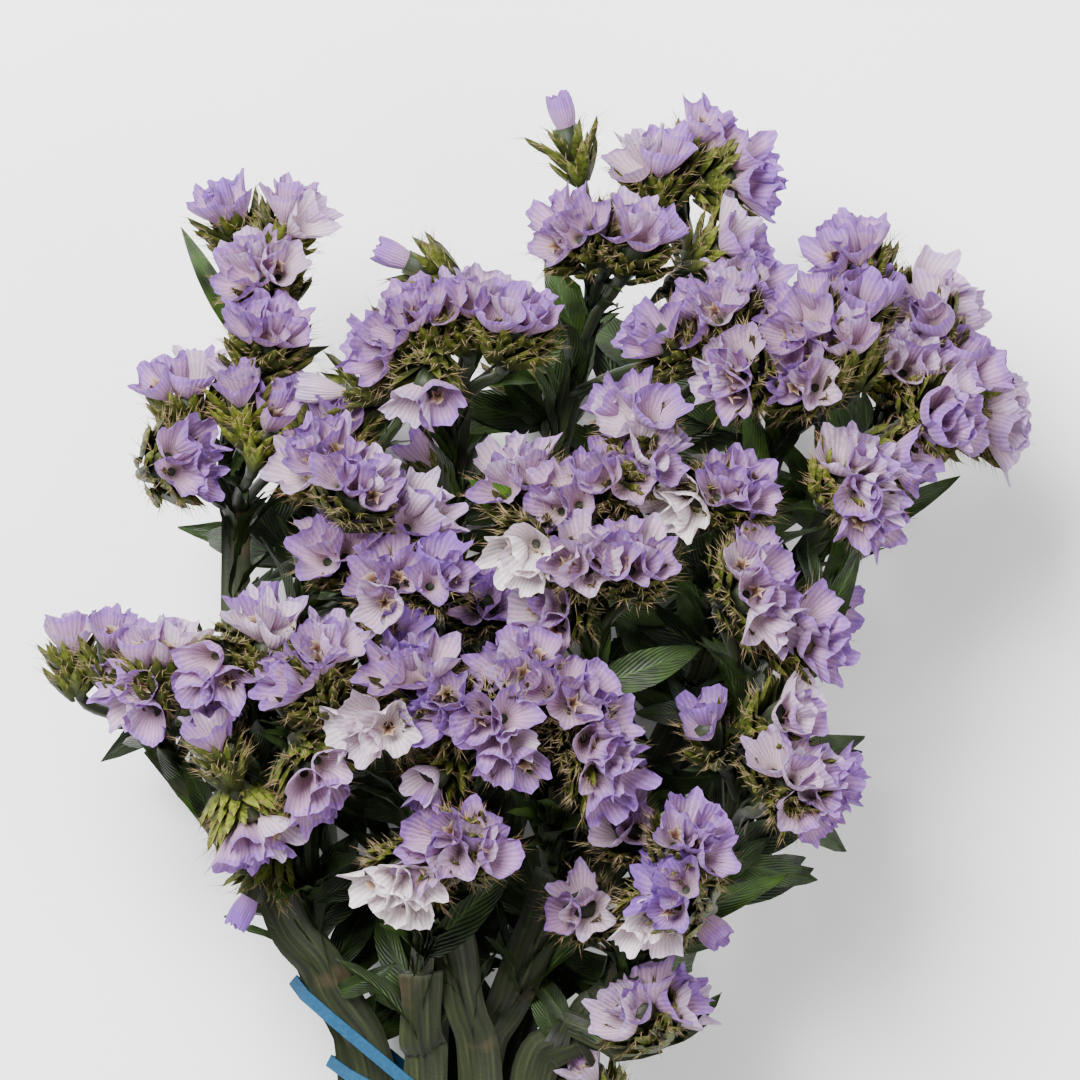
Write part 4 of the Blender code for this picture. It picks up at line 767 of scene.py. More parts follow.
def winged_stem(settings):
    """Half-dried stem, ribbed and finely hairy: grey-green with dark grooves, browned here and there. Its colours are
    darkened as painted shade: fully on the stems below 90 mm along Y, less towards 160 mm, above which they are mostly
    the brighter leaf colours.
    """
    made, tree = blank("winged_stem")
    uv = node(tree, "ShaderNodeUVMap", {"uv_map": "UVMap"}).outputs[0]
    stretched = node(tree, "ShaderNodeMapping", Vector=uv, Scale=(9.0, 0.02, 1.0)).outputs[0]
    streak = node(tree, "ShaderNodeTexNoise", Vector=stretched, Scale=2.0, Detail=4.0, Distortion=0.2).outputs["Fac"]
    place = node(tree, "ShaderNodeTexCoord").outputs["Object"]
    blotch = node(tree, "ShaderNodeTexNoise", Vector=place, Scale=1 / (14.0 * MM), Detail=3.0).outputs["Fac"]
    fuzz = node(tree, "ShaderNodeTexNoise", Vector=place, Scale=1 / (0.7 * MM), Detail=3.0).outputs["Fac"]
    # Painted shade: the stem colours here are darkened to stand for the shade deep in the bunch; the leaf colours below
    # are the lit copy used on the upper stems.
    shaded_stem_colour = node(tree, "ShaderNodeValToRGB", stops=[(0.32, settings.stem_dark_in_shade), (0.52, settings.stem_green), (0.72, settings.stem_pale_in_shade)], Fac=streak).outputs[0]
    young = node(tree, "ShaderNodeValToRGB", stops=[(0.32, settings.leaf_dark), (0.55, settings.leaf_middle), (0.8, settings.leaf_bright)], Fac=streak).outputs[0]
    # Painted shade by place: the dark stem colours below 90 mm along Y, blending to mostly leaf colours by 160 mm, so
    # the lower stems look shaded and the upper ones lit.
    height = node(tree, "ShaderNodeSeparateXYZ", Vector=place).outputs[1]
    unshaded_share = node(tree, "ShaderNodeMapRange", Value=height, _1=0.09, _2=0.16, _3=0.0, _4=0.8).outputs[0]
    colour = node(tree, "ShaderNodeMix", BLEND, _0=unshaded_share, _6=shaded_stem_colour, _7=young).outputs[2]
    brown = node(tree, "ShaderNodeValToRGB", stops=[(0.60, "#000000"), (0.74, "#ffffff")], Fac=blotch).outputs[0]
    browned = node(tree, "ShaderNodeMath", {"operation": "MULTIPLY"}, _0=brown, _1=0.55).outputs[0]
    colour = node(tree, "ShaderNodeMix", BLEND, _0=browned, _6=colour, _7=linear(settings.stem_brown)).outputs[2]
    height = node(tree, "ShaderNodeMath", {"operation": "MULTIPLY_ADD"}, _0=fuzz, _1=0.4, _2=streak).outputs[0]
    bump = node(tree, "ShaderNodeBump", Height=height, Strength=0.6, Distance=0.35 * MM).outputs[0]
    skin = node(tree, "ShaderNodeBsdfPrincipled", Base_Color=colour, Normal=bump, Roughness=0.58, IOR=1.45)
    skin.inputs["Specular IOR Level"].default_value = 0.35
    skin.inputs["Sheen Weight"].default_value = 0.08
    node(tree, "ShaderNodeOutputMaterial", Surface=skin.outputs[0])
    return made


def veined_leaf(settings):
    """Half-dried leaf blade: a paler midrib and slanting side veins, and edges that go yellow."""
    made, tree = blank("veined_leaf")
    uv = node(tree, "ShaderNodeUVMap", {"uv_map": "UVMap"}).outputs[0]
    split = node(tree, "ShaderNodeSeparateXYZ", Vector=uv)
    across, along = split.outputs[0], split.outputs[1]
    tint = node(tree, "ShaderNodeAttribute", {"attribute_name": "tint"}).outputs["Fac"]
    from_rib = node(tree, "ShaderNodeMath", {"operation": "SUBTRACT"}, _0=across, _1=0.5).outputs[0]
    from_rib = node(tree, "ShaderNodeMath", {"operation": "ABSOLUTE"}, _0=from_rib).outputs[0]
    slant = node(tree, "ShaderNodeMath", {"operation": "MULTIPLY_ADD"}, _0=from_rib, _1=-0.9, _2=along).outputs[0]
    veins = node(tree, "ShaderNodeMath", {"operation": "MULTIPLY"}, _0=slant, _1=math.tau * LEAF_VEINS).outputs[0]
    veins = node(tree, "ShaderNodeMath", {"operation": "SINE"}, _0=veins).outputs[0]
    place = node(tree, "ShaderNodeTexCoord").outputs["Object"]
    blotch = node(tree, "ShaderNodeTexNoise", Vector=place, Scale=1 / (5.0 * MM), Detail=4.0).outputs["Fac"]
    dark = node(tree, "ShaderNodeValToRGB", stops=[(0.3, settings.leaf_dark), (0.7, settings.leaf_middle)], Fac=blotch).outputs[0]
    bright = node(tree, "ShaderNodeValToRGB", stops=[(0.3, settings.leaf_middle), (0.65, settings.leaf_bright)], Fac=blotch).outputs[0]
    colour = node(tree, "ShaderNodeMix", BLEND, _0=tint, _6=dark, _7=bright).outputs[2]
    rib = node(tree, "ShaderNodeValToRGB", stops=[(0.015, "#ffffff"), (0.05, "#000000")], Fac=from_rib).outputs[0]
    colour = node(tree, "ShaderNodeMix", BLEND, _0=rib, _6=colour, _7=linear(settings.leaf_rib)).outputs[2]
    height = node(tree, "ShaderNodeMath", {"operation": "MULTIPLY_ADD"}, _0=veins, _1=0.35, _2=blotch).outputs[0]
    bump = node(tree, "ShaderNodeBump", Height=height, Strength=0.5, Distance=0.4 * MM).outputs[0]
    skin = node(tree, "ShaderNodeBsdfPrincipled", Base_Color=colour, Normal=bump, Roughness=0.5, IOR=1.45)
    skin.inputs["Specular IOR Level"].default_value = 0.4
    node(tree, "ShaderNodeOutputMaterial", Surface=skin.outputs[0])
    return made


def dried_corolla(settings):
    """Withered corolla, a small crumpled scrap: cream lobes round a brown throat."""
    made, tree = blank("dried_corolla")
    uv = node(tree, "ShaderNodeUVMap", {"uv_map": "UVMap"}).outputs[0]
    along = node(tree, "ShaderNodeSeparateXYZ", Vector=uv).outputs[1]
    colour = node(tree, "ShaderNodeValToRGB", stops=[(0.0, "#1c0f08"), (0.4, settings.throat), (0.8, settings.corolla), (1.0, "#a08a78")], Fac=along).outputs[0]
    skin = node(tree, "ShaderNodeBsdfPrincipled", Base_Color=colour, Roughness=0.75, IOR=1.45)
    node(tree, "ShaderNodeOutputMaterial", Surface=skin.outputs[0])
    return made


def band_rubber(settings):
    """Vulcanised rubber, cut from a tube: a dull satin skin with a bloom of fine dust."""
    made, tree = blank("band_rubber")
    place = node(tree, "ShaderNodeTexCoord").outputs["Object"]
    dust = node(tree, "ShaderNodeTexNoise", Vector=place, Scale=1 / (0.8 * MM), Detail=3.0).outputs["Fac"]
    colour = node(tree, "ShaderNodeMix", BLEND, _0=dust, _6=linear(settings.band_blue), _7=linear("#22506e")).outputs[2]
    bump = node(tree, "ShaderNodeBump", Height=dust, Strength=0.2, Distance=0.1 * MM).outputs[0]
    skin = node(tree, "ShaderNodeBsdfPrincipled", Base_Color=colour, Normal=bump, Roughness=0.75, IOR=1.52)
    skin.inputs["Specular IOR Level"].default_value = 0.12
    node(tree, "ShaderNodeOutputMaterial", Surface=skin.outputs[0])
    return made


def studio_paper():
    """Seamless background paper: matte and nearly white, so that the bunch's shadow stays soft."""
    made, tree = blank("studio_paper")
    skin = node(tree, "ShaderNodeBsdfPrincipled", Base_Color=linear("#f4f4f4"), Roughness=0.9, IOR=1.45)
    skin.inputs["Specular IOR Level"].default_value = 0.1
    node(tree, "ShaderNodeOutputMaterial", Surface=skin.outputs[0])
    return made


# Small shapes that are repeated


def patch_mesh(name, verts, faces, uvs):
    """A mesh from points in millimetres and faces, with a place on its UV map for each face corner."""
    mesh = bpy.data.meshes.new(name)
    mesh.from_pydata([tuple(Vector(p) * MM) for p in verts], [], faces)
    layer = mesh.uv_layers.new(name="UVMap")
    layer.data.foreach_set("uv", [c for corners in uvs for uv in corners for c in uv])
    mesh.polygons.foreach_set("use_smooth", [True] * len(faces))
    return mesh


def calyx_mesh(name, seed, settings, fullness=1.0, ruffle=1.0, closed=0.0, width=1.0, lean=0.0):
    """One calyx: a narrow tube that opens into a papery bell, with soft folds and a finely toothed rim."""
    draw = random.Random(seed)
    length, radius = settings.calyx_length * 1000, settings.calyx_width * 500 * width
    folds = [(k, draw.uniform(0.5, 1.0), draw.uniform(0, math.tau)) for k in (2, 3, 5)]
    waves = [(k, draw.uniform(0.5, 1.0), draw.uniform(0, math.tau)) for k in (3, 4, 5)]
    crumples = [(k, draw.uniform(0.5, 1.0), draw.uniform(0, math.tau)) for k in (7, 9, 11)]
    teeth = [draw.uniform(-1, 1) for _ in range(CALYX_SIDES)]
    verts = []
    for j in range(CALYX_RINGS + 1):
        v = j / CALYX_RINGS
        open_to = max(0.0, (v - 0.14) / 0.86)
        bell = math.sin(math.pi / 2 * open_to ** 0.9) ** fullness * (1 - 0.42 * closed * open_to ** 3)
        for i in range(CALYX_SIDES):
            a = math.tau * i / CALYX_SIDES
            fold = sum(w * math.sin(k * a + t) for k, w, t in folds) / 2
            wave = sum(w * math.sin(k * a + t) for k, w, t in waves) / 2
            crumple = sum(w * math.sin(k * a + t + 4 * v) for k, w, t in crumples) / 2
            r = 0.9 + (radius - 0.9) * bell * (1 + ruffle * 0.24 * fold * open_to)
            r += ruffle * (0.42 * crumple * open_to ** 1.5 + 0.8 * wave * open_to ** 3)
            z = length * v + ruffle * (1.0 * wave * open_to ** 2 + 0.5 * crumple * open_to ** 3)
            z -= length * 0.16 * open_to ** 4 * (1 - closed)
            if j == CALYX_RINGS:
                z += 0.22 * teeth[i]
                r += 0.1 * teeth[i - 3]
            verts.append((r * math.cos(a) + lean * open_to ** 2, r * math.sin(a), z))
    faces, uvs = [], []
    for j in range(CALYX_RINGS):
        for i in range(CALYX_SIDES):
            n = (i + 1) % CALYX_SIDES
            below, above = j * CALYX_SIDES, (j + 1) * CALYX_SIDES
            faces.append((below + i, below + n, above + n, above + i))
            u, w = i / CALYX_SIDES, (i + 1) / CALYX_SIDES
            low, high = j / CALYX_RINGS, (j + 1) / CALYX_RINGS
            uvs.append(((u, low), (w, low), (w, high), (u, high)))
    return patch_mesh(name, verts, faces, uvs)


def bract_mesh(name, seed, settings):
    """One keeled bract with a drawn-out point, and bristles along its edge and tip."""
    draw = random.Random(seed)
    length, half = settings.bract_length * 1000, settings.bract_length * 165
    profile = [(0.0, 0.5), (0.3, 1.0), (0.62, 0.72), (0.85, 0.25)]
    verts, faces, uvs = [], [], []
    for u, w in profile:
        bow = 0.9 * math.sin(math.pi * u * 0.8)
        verts.extend([(-half * w, -0.5 * w, u * length), (0, bow, u * length), (half * w, -0.5 * w, u * length)])
    verts.append((0, 0.1, length))
    for j in range(len(profile) - 1):
        for i in range(2):
            a = j * 3 + i
            faces.append((a, a + 1, a + 4, a + 3))
            low, high = profile[j][0] * 0.75, profile[j + 1][0] * 0.75
            uvs.append(((i / 2, low), (i / 2 + 0.5, low), (i / 2 + 0.5, high), (i / 2, high)))
    last = (len(profile) - 1) * 3
    for i in range(2):
        faces.append((last + i, last + i + 1, len(verts) - 1))
        uvs.append(((i / 2, 0.64), (i / 2 + 0.5, 0.64), (0.5, 0.78)))
    for k in range(BRISTLES):
        u = draw.uniform(0.35, 1.0)
        side = draw.choice((-1, 1)) * (1 - u) * half
        foot = Vector((side, 0.2, u * length))
        way = Vector((side * 0.55 + draw.uniform(-0.5, 0.5), draw.uniform(-0.2, 0.9), 1.0)).normalized()
        reach = draw.uniform(2.0, 4.4)
        wide = way.cross(Vector((0, 1, 0))).normalized() * BRISTLE_RADIUS
        deep = way.cross(wide).normalized() * BRISTLE_RADIUS
        base = len(verts)
        verts.extend([foot - wide, foot + wide, foot + deep, foot + way * reach])
        for a, b in ((0, 1), (1, 2), (2, 0)):
            faces.append((base + a, base + b, base + 3))
            uvs.append(((0.5, 0.8), (0.5, 0.8), (0.5, 1.0)))
    return patch_mesh(name, verts, faces, uvs)


def blade_mesh(name, seed, wave=1.0, steps=8):
    """A leaf blade one unit long and one wide: folded along its midrib, arched, with a waved edge."""
    draw = random.Random(seed)
    phase, bend = draw.uniform(0, math.tau), draw.uniform(0.06, 0.12)
    verts, faces, uvs = [], [], []
    across = (-1.0, -0.55, 0.0, 0.55, 1.0)
    for j in range(steps + 1):
        u = j / steps
        w = max(0.012, 0.5 * math.sin(math.pi * min(1.0, u * 0.94 + 0.06)) ** 0.75 * (1 - 0.35 * u))
        for s in across:
            ripple = wave * 0.02 * math.sin(u * 17 + phase + s * 2) * abs(s)
            verts.append((w * s * 1000, (bend * math.sin(math.pi * u) + ripple) * 1000 + abs(s) * w * 160, u * 1000))
    for j in range(steps):
        for i in range(4):
            a = j * 5 + i
            faces.append((a, a + 1, a + 6, a + 5))
            low, high = j / steps, (j + 1) / steps
            uvs.append(((i / 4, low), (i / 4 + 0.25, low), (i / 4 + 0.25, high), (i / 4, high)))
    return patch_mesh(name, verts, faces, uvs)


def corolla_mesh(name, seed):
    """A withered corolla: five crumpled lobes round a dark throat, sunk in a calyx."""
    draw = random.Random(seed)
    verts, faces, uvs = [(0, 0, 3.6)], [], []
    for i in range(10):
        a = i * math.tau / 10
        out = draw.uniform(1.5, 2.3) if i % 2 else draw.uniform(0.7, 1.0)
        verts.append((0.5 * math.cos(a), 0.5 * math.sin(a), 5.0))
        verts.append((out * math.cos(a), out * math.sin(a), 6.4 + draw.uniform(-0.6, 0.8)))
    for i in range(10):
        n = (i + 1) % 10
        faces.append((0, 1 + 2 * n, 1 + 2 * i))
        uvs.append(((0.5, 0.0), (0.5, 0.35), (0.5, 0.35)))
        faces.append((1 + 2 * i, 1 + 2 * n, 2 + 2 * n, 2 + 2 * i))
        uvs.append(((0.5, 0.35), (0.5, 0.35), (0.5, 1.0), (0.5, 1.0)))
    return patch_mesh(name, verts, faces, uvs)


def store(name, meshes):
    """A hidden collection that holds one object for each mesh to be repeated."""
    collection = bpy.data.collections.new(name)
    for number, mesh in enumerate(meshes):
        collection.objects.link(bpy.data.objects.new(f"{name}_{number}", mesh))
    return collection


def scatter_tree(name, collection, surface):
    """Geometry nodes that put a shape of the collection on every point, turned, sized and tinted by attributes."""
    tree = bpy.data.node_groups.new(name, "GeometryNodeTree")
    face = tree.interface
    face.new_socket("Points", in_out="INPUT", socket_type="NodeSocketGeometry")
    face.new_socket("Size", in_out="INPUT", socket_type="NodeSocketFloat").default_value = 1.0
    face.new_socket("Shapes", in_out="OUTPUT", socket_type="NodeSocketGeometry")
    given = tree.nodes.new("NodeGroupInput")
    shapes = node(tree, "GeometryNodeCollectionInfo", Collection=collection, Separate_Children=True)
    shapes.inputs["Reset Children"].default_value = True
    kind = node(tree, "GeometryNodeInputNamedAttribute", {"data_type": "INT"}, Name="kind").outputs[0]
    turn = node(tree, "GeometryNodeInputNamedAttribute", {"data_type": "FLOAT_VECTOR"}, Name="turn").outputs[0]
    size = node(tree, "GeometryNodeInputNamedAttribute", {"data_type": "FLOAT_VECTOR"}, Name="size").outputs[0]
    turned = node(tree, "FunctionNodeEulerToRotation", Euler=turn).outputs[0]
    sized = node(tree, "ShaderNodeVectorMath", {"operation": "SCALE"}, Vector=size, Scale=given.outputs[1]).outputs[0]
    placed = node(tree, "GeometryNodeInstanceOnPoints", Points=given.outputs[0], Instance=shapes.outputs[0],
                  Pick_Instance=True, Instance_Index=kind, Rotation=turned, Scale=sized)
    real = node(tree, "GeometryNodeRealizeInstances", Geometry=placed.outputs[0])
    done = node(tree, "GeometryNodeSetMaterial", Geometry=real.outputs[0], Material=surface)
    out = tree.nodes.new("NodeGroupOutput")
    tree.links.new(done.outputs[0], out.inputs[0])
    return tree


def scattered(name, rows, tree, size=1.0):
    """A mesh of the tree's shapes on rows of place, way, across, size, kind and tint, in millimetres."""
    mesh = bpy.data.meshes.new(name)
    mesh.from_pydata([tuple((row[0] + TO_ORIGIN) * MM) for row in rows], [], [])
    turns = []
    for _, way, across, _, _, _ in rows:
        side = (across - way * across.dot(way)).normalized()
        turns.extend(Matrix((side, way.cross(side), way)).transposed().to_euler("XYZ"))
    mesh.attributes.new("turn", "FLOAT_VECTOR", "POINT").data.foreach_set("vector", turns)
    sizes = [c for row in rows for c in row[3]]
    mesh.attributes.new("size", "FLOAT_VECTOR", "POINT").data.foreach_set("vector", sizes)
    mesh.attributes.new("kind", "INT", "POINT").data.foreach_set("value", [row[4] for row in rows])
    mesh.attributes.new("tint", "FLOAT", "POINT").data.foreach_set("value", [row[5] for row in rows])
    points = bpy.data.objects.new(name + "_points", mesh)
    bpy.context.scene.collection.objects.link(points)
    modifier = points.modifiers.new("scatter", "NODES")
    modifier.node_group = tree
    for item in tree.interface.items_tree:
        if item.in_out == "INPUT" and item.name == "Size":
            modifier[item.identifier] = size
    bpy.context.view_layer.update()
    graph = bpy.context.evaluated_depsgraph_get()
    made = bpy.data.meshes.new_from_object(points.evaluated_get(graph))
    bpy.data.objects.remove(points)
    for spare in ("turn", "size", "kind"):
        if spare in made.attributes:
            made.attributes.remove(made.attributes[spare])
    rest_on_surface(made)
    piece = bpy.data.objects.new(name, made)
    bpy.context.scene.collection.objects.link(piece)
    return piece


def rest_on_surface(mesh):
    """Presses points that would lie below the surface flat on it."""
    places = np.empty(len(mesh.vertices) * 3, np.float32)
    mesh.vertices.foreach_get("co", places)
    heights = places.reshape(-1, 3)[:, 2]
    np.maximum(heights, PRESSED_TO + 0.02 * np.minimum(heights, 0), out=heights)
    mesh.vertices.foreach_set("co", places)
    mesh.update()


# Stems


def ring_frames(points):
    """For each point of a path, the way along it and the level and upward directions across it."""
    found = []
    for i in range(len(points)):
        along = (points[min(i + 1, len(points) - 1)] - points[max(i - 1, 0)]).normalized()
        across = Vector((along.y, -along.x, 0))
        across = across.normalized() if across.length > 0.05 else Vector((1, 0, 0))
        found.append((along, across, across.cross(along)))
    return found


def swept(bag, points, sections, tint=0.0):
    """Adds a closed tube to a bag of points, faces and UVs: a section in millimetres for each path point."""
    verts, faces, uvs = bag
    first, count, run = len(verts), len(sections[0]), 0.0
    for i, (at, (_, across, over)) in enumerate(zip(points, ring_frames(points))):
        verts.extend(at + TO_ORIGIN + across * x + over * y for x, y in sections[i])
        if i:
            reach = (points[i] - points[i - 1]).length
            for k in range(count):
                n = (k + 1) % count
                a, b = first + (i - 1) * count, first + i * count
                faces.append((a + k, a + n, b + n, b + k))
                u, w = k / count, (k + 1) / count
                uvs.append(((u, run), (w, run), (w, run + reach), (u, run + reach)))
            run += reach
    for ring, flip in ((first, True), (first + (len(points) - 1) * count, False)):
        cap = list(range(ring, ring + count))
        faces.append(tuple(reversed(cap)) if flip else tuple(cap))
        uvs.append(tuple((0.5, run) for _ in cap))


def trunk_sections(width, thickness, count, draw):
    """Winged sections along a stem: two thin wings that wave slowly, and a thick middle with three ridges."""
    w, t = width / 2, thickness / 2
    top = [(-1.0, 0.14), (-0.72, 0.22), (-0.5, 0.58), (-0.36, 0.46), (-0.18, 1.0), (0.0, 0.74), (0.18, 1.0),
           (0.36, 0.46), (0.5, 0.58), (0.72, 0.22), (1.0, 0.14)]
    outline = [(x, -y * 0.9) for x, y in reversed(top)] + top
    phases = [draw.uniform(0, math.tau) for _ in range(4)]
    found = []
    for i in range(count):
        lift = [0.3 * math.sin(i * WING_WAVE + phases[side]) for side in range(2)]
        reach = [0.09 * math.sin(i * WING_WAVE * 0.7 + phases[2 + side]) for side in range(2)]
        section = []
        for x, y in outline:
            side, outer = int(x > 0), max(0.0, abs(x) - 0.5) * 2
            section.append((x * w * (1 + reach[side] * outer), y * t + lift[side] * outer * t))
        found.append(section)
    return found


def round_section(radius, sides=6):
    return [(radius * math.cos(k * math.tau / sides), -radius * math.sin(k * math.tau / sides)) for k in range(sides)]


def finer(points, step):
    """The path with more points, about a step apart, on a smooth curve."""
    reach = sum((b - a).length for a, b in zip(points, points[1:])) / max(1, len(points) - 1)
    return smooth_path(points, max(1, round(reach / step)))


def stem_mesh(stem):
    """The trunk, limbs, branches and receptacles of one flowering stem."""
    draw = random.Random(sum(map(ord, stem)))
    bag = ([], [], [])
    for strand in plan()["strands"]:
        if strand["stem"] != stem:
            continue
        if strand["kind"] == "trunk":
            path = finer(strand["points"], 5.0)
            swept(bag, path, trunk_sections(TRUNK_WIDTH, TRUNK_THICKNESS, len(path), draw))
        elif strand["kind"] == "limb":
            path = finer(strand["points"], 4.0)
            swept(bag, path, trunk_sections(LIMB_WIDTH * 1.15, LIMB_THICKNESS, len(path), draw))
        else:
            head = plan()["heads"][strand["head"]]
            foot = strand["points"][-2]
            path = finer(strand["points"][:-1], 3.0)
            swept(bag, path, [round_section(BRANCH_WIDTH / 2 * draw.uniform(0.85, 1.1)) for _ in path])
            drawn = 1.0 + 0.16 * max(0, head["count"] - 1)
            top = foot + head["out"] * (CUP_DEPTH + 1.5)
            path = [foot - head["out"] * 2, foot + head["out"] * 2, foot + head["out"] * 5, top]
            sizes = (1.2, 1.7, 2.3, 2.6)
            verts, faces, uvs = bag
            first = len(verts)
            for at, radius in zip(path, sizes):
                for k in range(8):
                    a = k * math.tau / 8
                    long = 1 + (drawn - 1) * (radius - 1.2) / 1.4
                    spoke = head["row"] * (math.cos(a) * long) + head["side"] * math.sin(a)
                    verts.append(at + TO_ORIGIN + spoke * radius)
            for j in range(3):
                for k in range(8):
                    n = (k + 1) % 8
                    a, b = first + j * 8, first + (j + 1) * 8
                    faces.append((a + k, a + n, b + n, b + k))
                    uvs.append(((k / 8, j * 3), (k / 8 + 0.125, j * 3), (k / 8 + 0.125, j * 3 + 3), (k / 8, j * 3 + 3)))
            faces.append(tuple(first + 24 + k for k in range(8)))
            uvs.append(tuple((0.5, 9.0) for _ in range(8)))
            faces.append(tuple(reversed([first + k for k in range(8)])))
            uvs.append(tuple((0.5, 0.0) for _ in range(8)))
    mesh = patch_mesh(stem + "_stalks", *bag)
    bm = bmesh.new()
    bm.from_mesh(mesh)
    bmesh.ops.recalc_face_normals(bm, faces=bm.faces)
    bm.to_mesh(mesh)
    bm.free()
    rest_on_surface(mesh)
    return mesh


# Rows of small shapes for each stem


def tone_of(head):
    """How a head is coloured: 0 bleached, 0.5 lavender, 1 violet."""
    place = (head["at"].x, head["at"].y)
    if head["look"] < 0:
        return 0.62
    for x, y, tone in TONES:
        if math.dist(place, (x, y)) < 3.5:
            return tone
    return 0.5


def calyces_of(head):
    """Root, way, length and turn of each calyx of a head: two rows, fanned as its solid is."""
    draw = random.Random(RANDOM_SEED + int(head["at"].x * 7 + head["at"].y * 13))
    shown = max(1, round(head["count"] * FLORET_SHARE))
    count = 1 if head["count"] == 1 else round(head["count"] * CALYX_SHARE)
    root = head["at"] - head["out"] * ROOT_DEPTH
    found = []
    for i in range(count):
        part = 0.0 if count == 1 else (i / (count - 1) - 0.5) * 2
        place = part * (shown - 1) / 2 * 1.1
        side = (1 if i % 2 else -1) if count > 1 else 0
        fan = math.radians(FAN_DEGREES * place + draw.uniform(-7, 7))
        lean = math.radians(SIDE_DEGREES * 1.25 * side + draw.uniform(-7, 7))
        way = (head["out"] + head["row"] * math.tan(fan * 0.8) + head["side"] * math.tan(lean)).normalized()
        at = root + head["row"] * (place * FLORET_PITCH) + head["side"] * (side * 0.7)
        found.append((at, way, draw.uniform(0.94, 1.08), draw.uniform(0, math.tau)))
    return found


def spun(head, way, angle):
    """A direction square to a calyx's way, turned round it."""
    return Matrix.Rotation(angle, 3, way) @ (head["row"] - way * head["row"].dot(way)).normalized()


def calyx_rows(stem):
    rows = []
    for head in plan()["heads"]:
        if head["stem"] != stem:
            continue
        tone = tone_of(head)
        draw = random.Random(int(head["at"].x * 31 + head["at"].y * 17))
        for at, way, length, turn in calyces_of(head):
            flat = draw.uniform(0.78, 1.12)
            kind = BUD_KIND if head["count"] == 1 else draw.randrange(BUD_KIND)
            if head["at"].y > 125 and head["at"].x > 60 and draw.random() < 0.5:
                kind = ROUNDED_KIND
            tint = min(1.0, max(0.0, tone + draw.uniform(-0.2, 0.26)))
            rows.append((at, way, spun(head, way, turn), (draw.uniform(0.92, 1.1), flat, length), kind, tint))
    return rows


def corolla_rows(stem):
    rows = []
    for head in plan()["heads"]:
        if head["stem"] == stem and head["count"] > 1:
            draw = random.Random(int(head["at"].x * 11 + head["at"].y * 5))
            for at, way, length, turn in calyces_of(head):
                if draw.random() < COROLLA_SHARE:
                    rows.append((at, way, spun(head, way, turn), (1.0, 1.0, 1.0), draw.randrange(3), 0.5))
    return rows


def bract_rows(stem):
    """Bracts in tiers round the cup under each head, longest along its row, from its foot up to the calyces."""
    rows = []
    for head in plan()["heads"]:
        if head["stem"] != stem:
            continue
        draw = random.Random(int(head["at"].x * 3 + head["at"].y * 29))
        near = [tone for x, y, tone in BRIGHT_BRACTS if math.dist((head["at"].x, head["at"].y), (x, y)) < 12]
        bright = near[0] if near else 0.15
        shown = max(1, round(head["count"] * FLORET_SHARE))
        half = FLORET_PITCH * (shown - 1) / 2 + 1.6
        for tier in range(BRACT_TIERS):
            count = BRACTS_AROUND + 2 * head["count"]
            for i in range(count):
                angle = math.tau * (i + 0.5 * tier + draw.uniform(-0.3, 0.3)) / count
                spoke = head["row"] * math.cos(angle) * half + head["side"] * math.sin(angle) * 1.9
                away = (head["row"] * math.cos(angle) + head["side"] * math.sin(angle)).normalized()
                back = ROOT_DEPTH + CUP_DEPTH * (1.05 - BRACT_RISE * tier) + draw.uniform(-0.7, 0.7)
                aim = (head["out"] + away * draw.uniform(0.4, 0.85)).normalized()
                size = draw.uniform(0.8, 1.15)
                tint = min(1.0, max(0.0, bright + draw.uniform(-0.15, 0.3)))
                place = head["at"] - head["out"] * back + spoke
                rows.append((place, aim, away.cross(aim), (size, size, size), draw.randrange(4), tint))
    return rows


def covered(tip, stem):
    """Whether a head, or a strand of another stem, lies over or under a place in plan."""
    place = (tip.x, tip.y)
    if any(math.dist(place, (head["at"].x, head["at"].y)) < LEAF_COVER for head in plan()["heads"]):
        return True
    others = (p for s in plan()["strands"] if s["stem"] != stem for p in s["points"])
    return any(math.dist(place, (p.x, p.y)) < LEAF_COVER * 0.7 for p in others)


def leaf_rows(stem):
    """The leaves of a stem, the small pointed leaves where its limbs and branches fork, and the dark leaves behind the
    heads that are partly painted shade.
    """
    draw = random.Random(sum(map(ord, stem)) * 3)
    rows = []
    own = [p for s in plan()["strands"] if s["stem"] == stem for p in s["points"]]
    for carrier, root, tip, width in LEAVES:
        if carrier != stem:
            continue
        tip = Vector(tip)
        root = min(own, key=lambda p: (p - Vector(root)).length)
        way = tip - root
        across = Vector((0, 0, 1)).cross(way).normalized()
        bright = 1.0 if math.dist((tip.x, tip.y), BRIGHT_LEAF) < 12 else draw.uniform(0.0, 0.45)
        rows.append((root, way.normalized(), across, (width / 1000, way.length / 1000, way.length / 1000), 0, bright))
    for strand in plan()["strands"]:
        if strand["stem"] != stem:
            continue
        points, (count, short, long, share) = strand["points"], APPENDAGES[strand["kind"]]
        spots = [i for i in range(len(points) - 1) if points[i].y > FIRST_LEAF and (i > 0 or strand["kind"] == "branch")]
        for i in spots if strand["kind"] != "branch" else spots[:2]:
            along = (points[i + 1] - points[i]).normalized()
            for _ in range(count):
                # The trunk's small leaves point down behind the stems and are dark: partly real leaves, partly painted
                # shade in the gaps between the stems.
                rise = draw.uniform(-0.9, -0.2) if strand["kind"] == "trunk" else draw.uniform(-0.9, 0.6)
                out = Vector((draw.uniform(-1, 1), draw.uniform(-1, 1), rise)).normalized()
                way = (along * 1.3 + out * 0.75).normalized()
                length = draw.uniform(short, long)
                tip = points[i] + way * length
                if tip.z < 2 or tip.z > dome_height(tip.x, tip.y, DOME_HALF[2]) - 4 or not covered(tip, stem):
                    continue
                size = (length * share / 1000, length / 1000, length / 1000)
                tint = draw.uniform(0.0, 0.35)
                rows.append((points[i], way, way.cross(out).normalized(), size, draw.randrange(3), tint))
    rows.extend(row for owner, row in shade_fill_leaves() if owner == stem)
    return rows


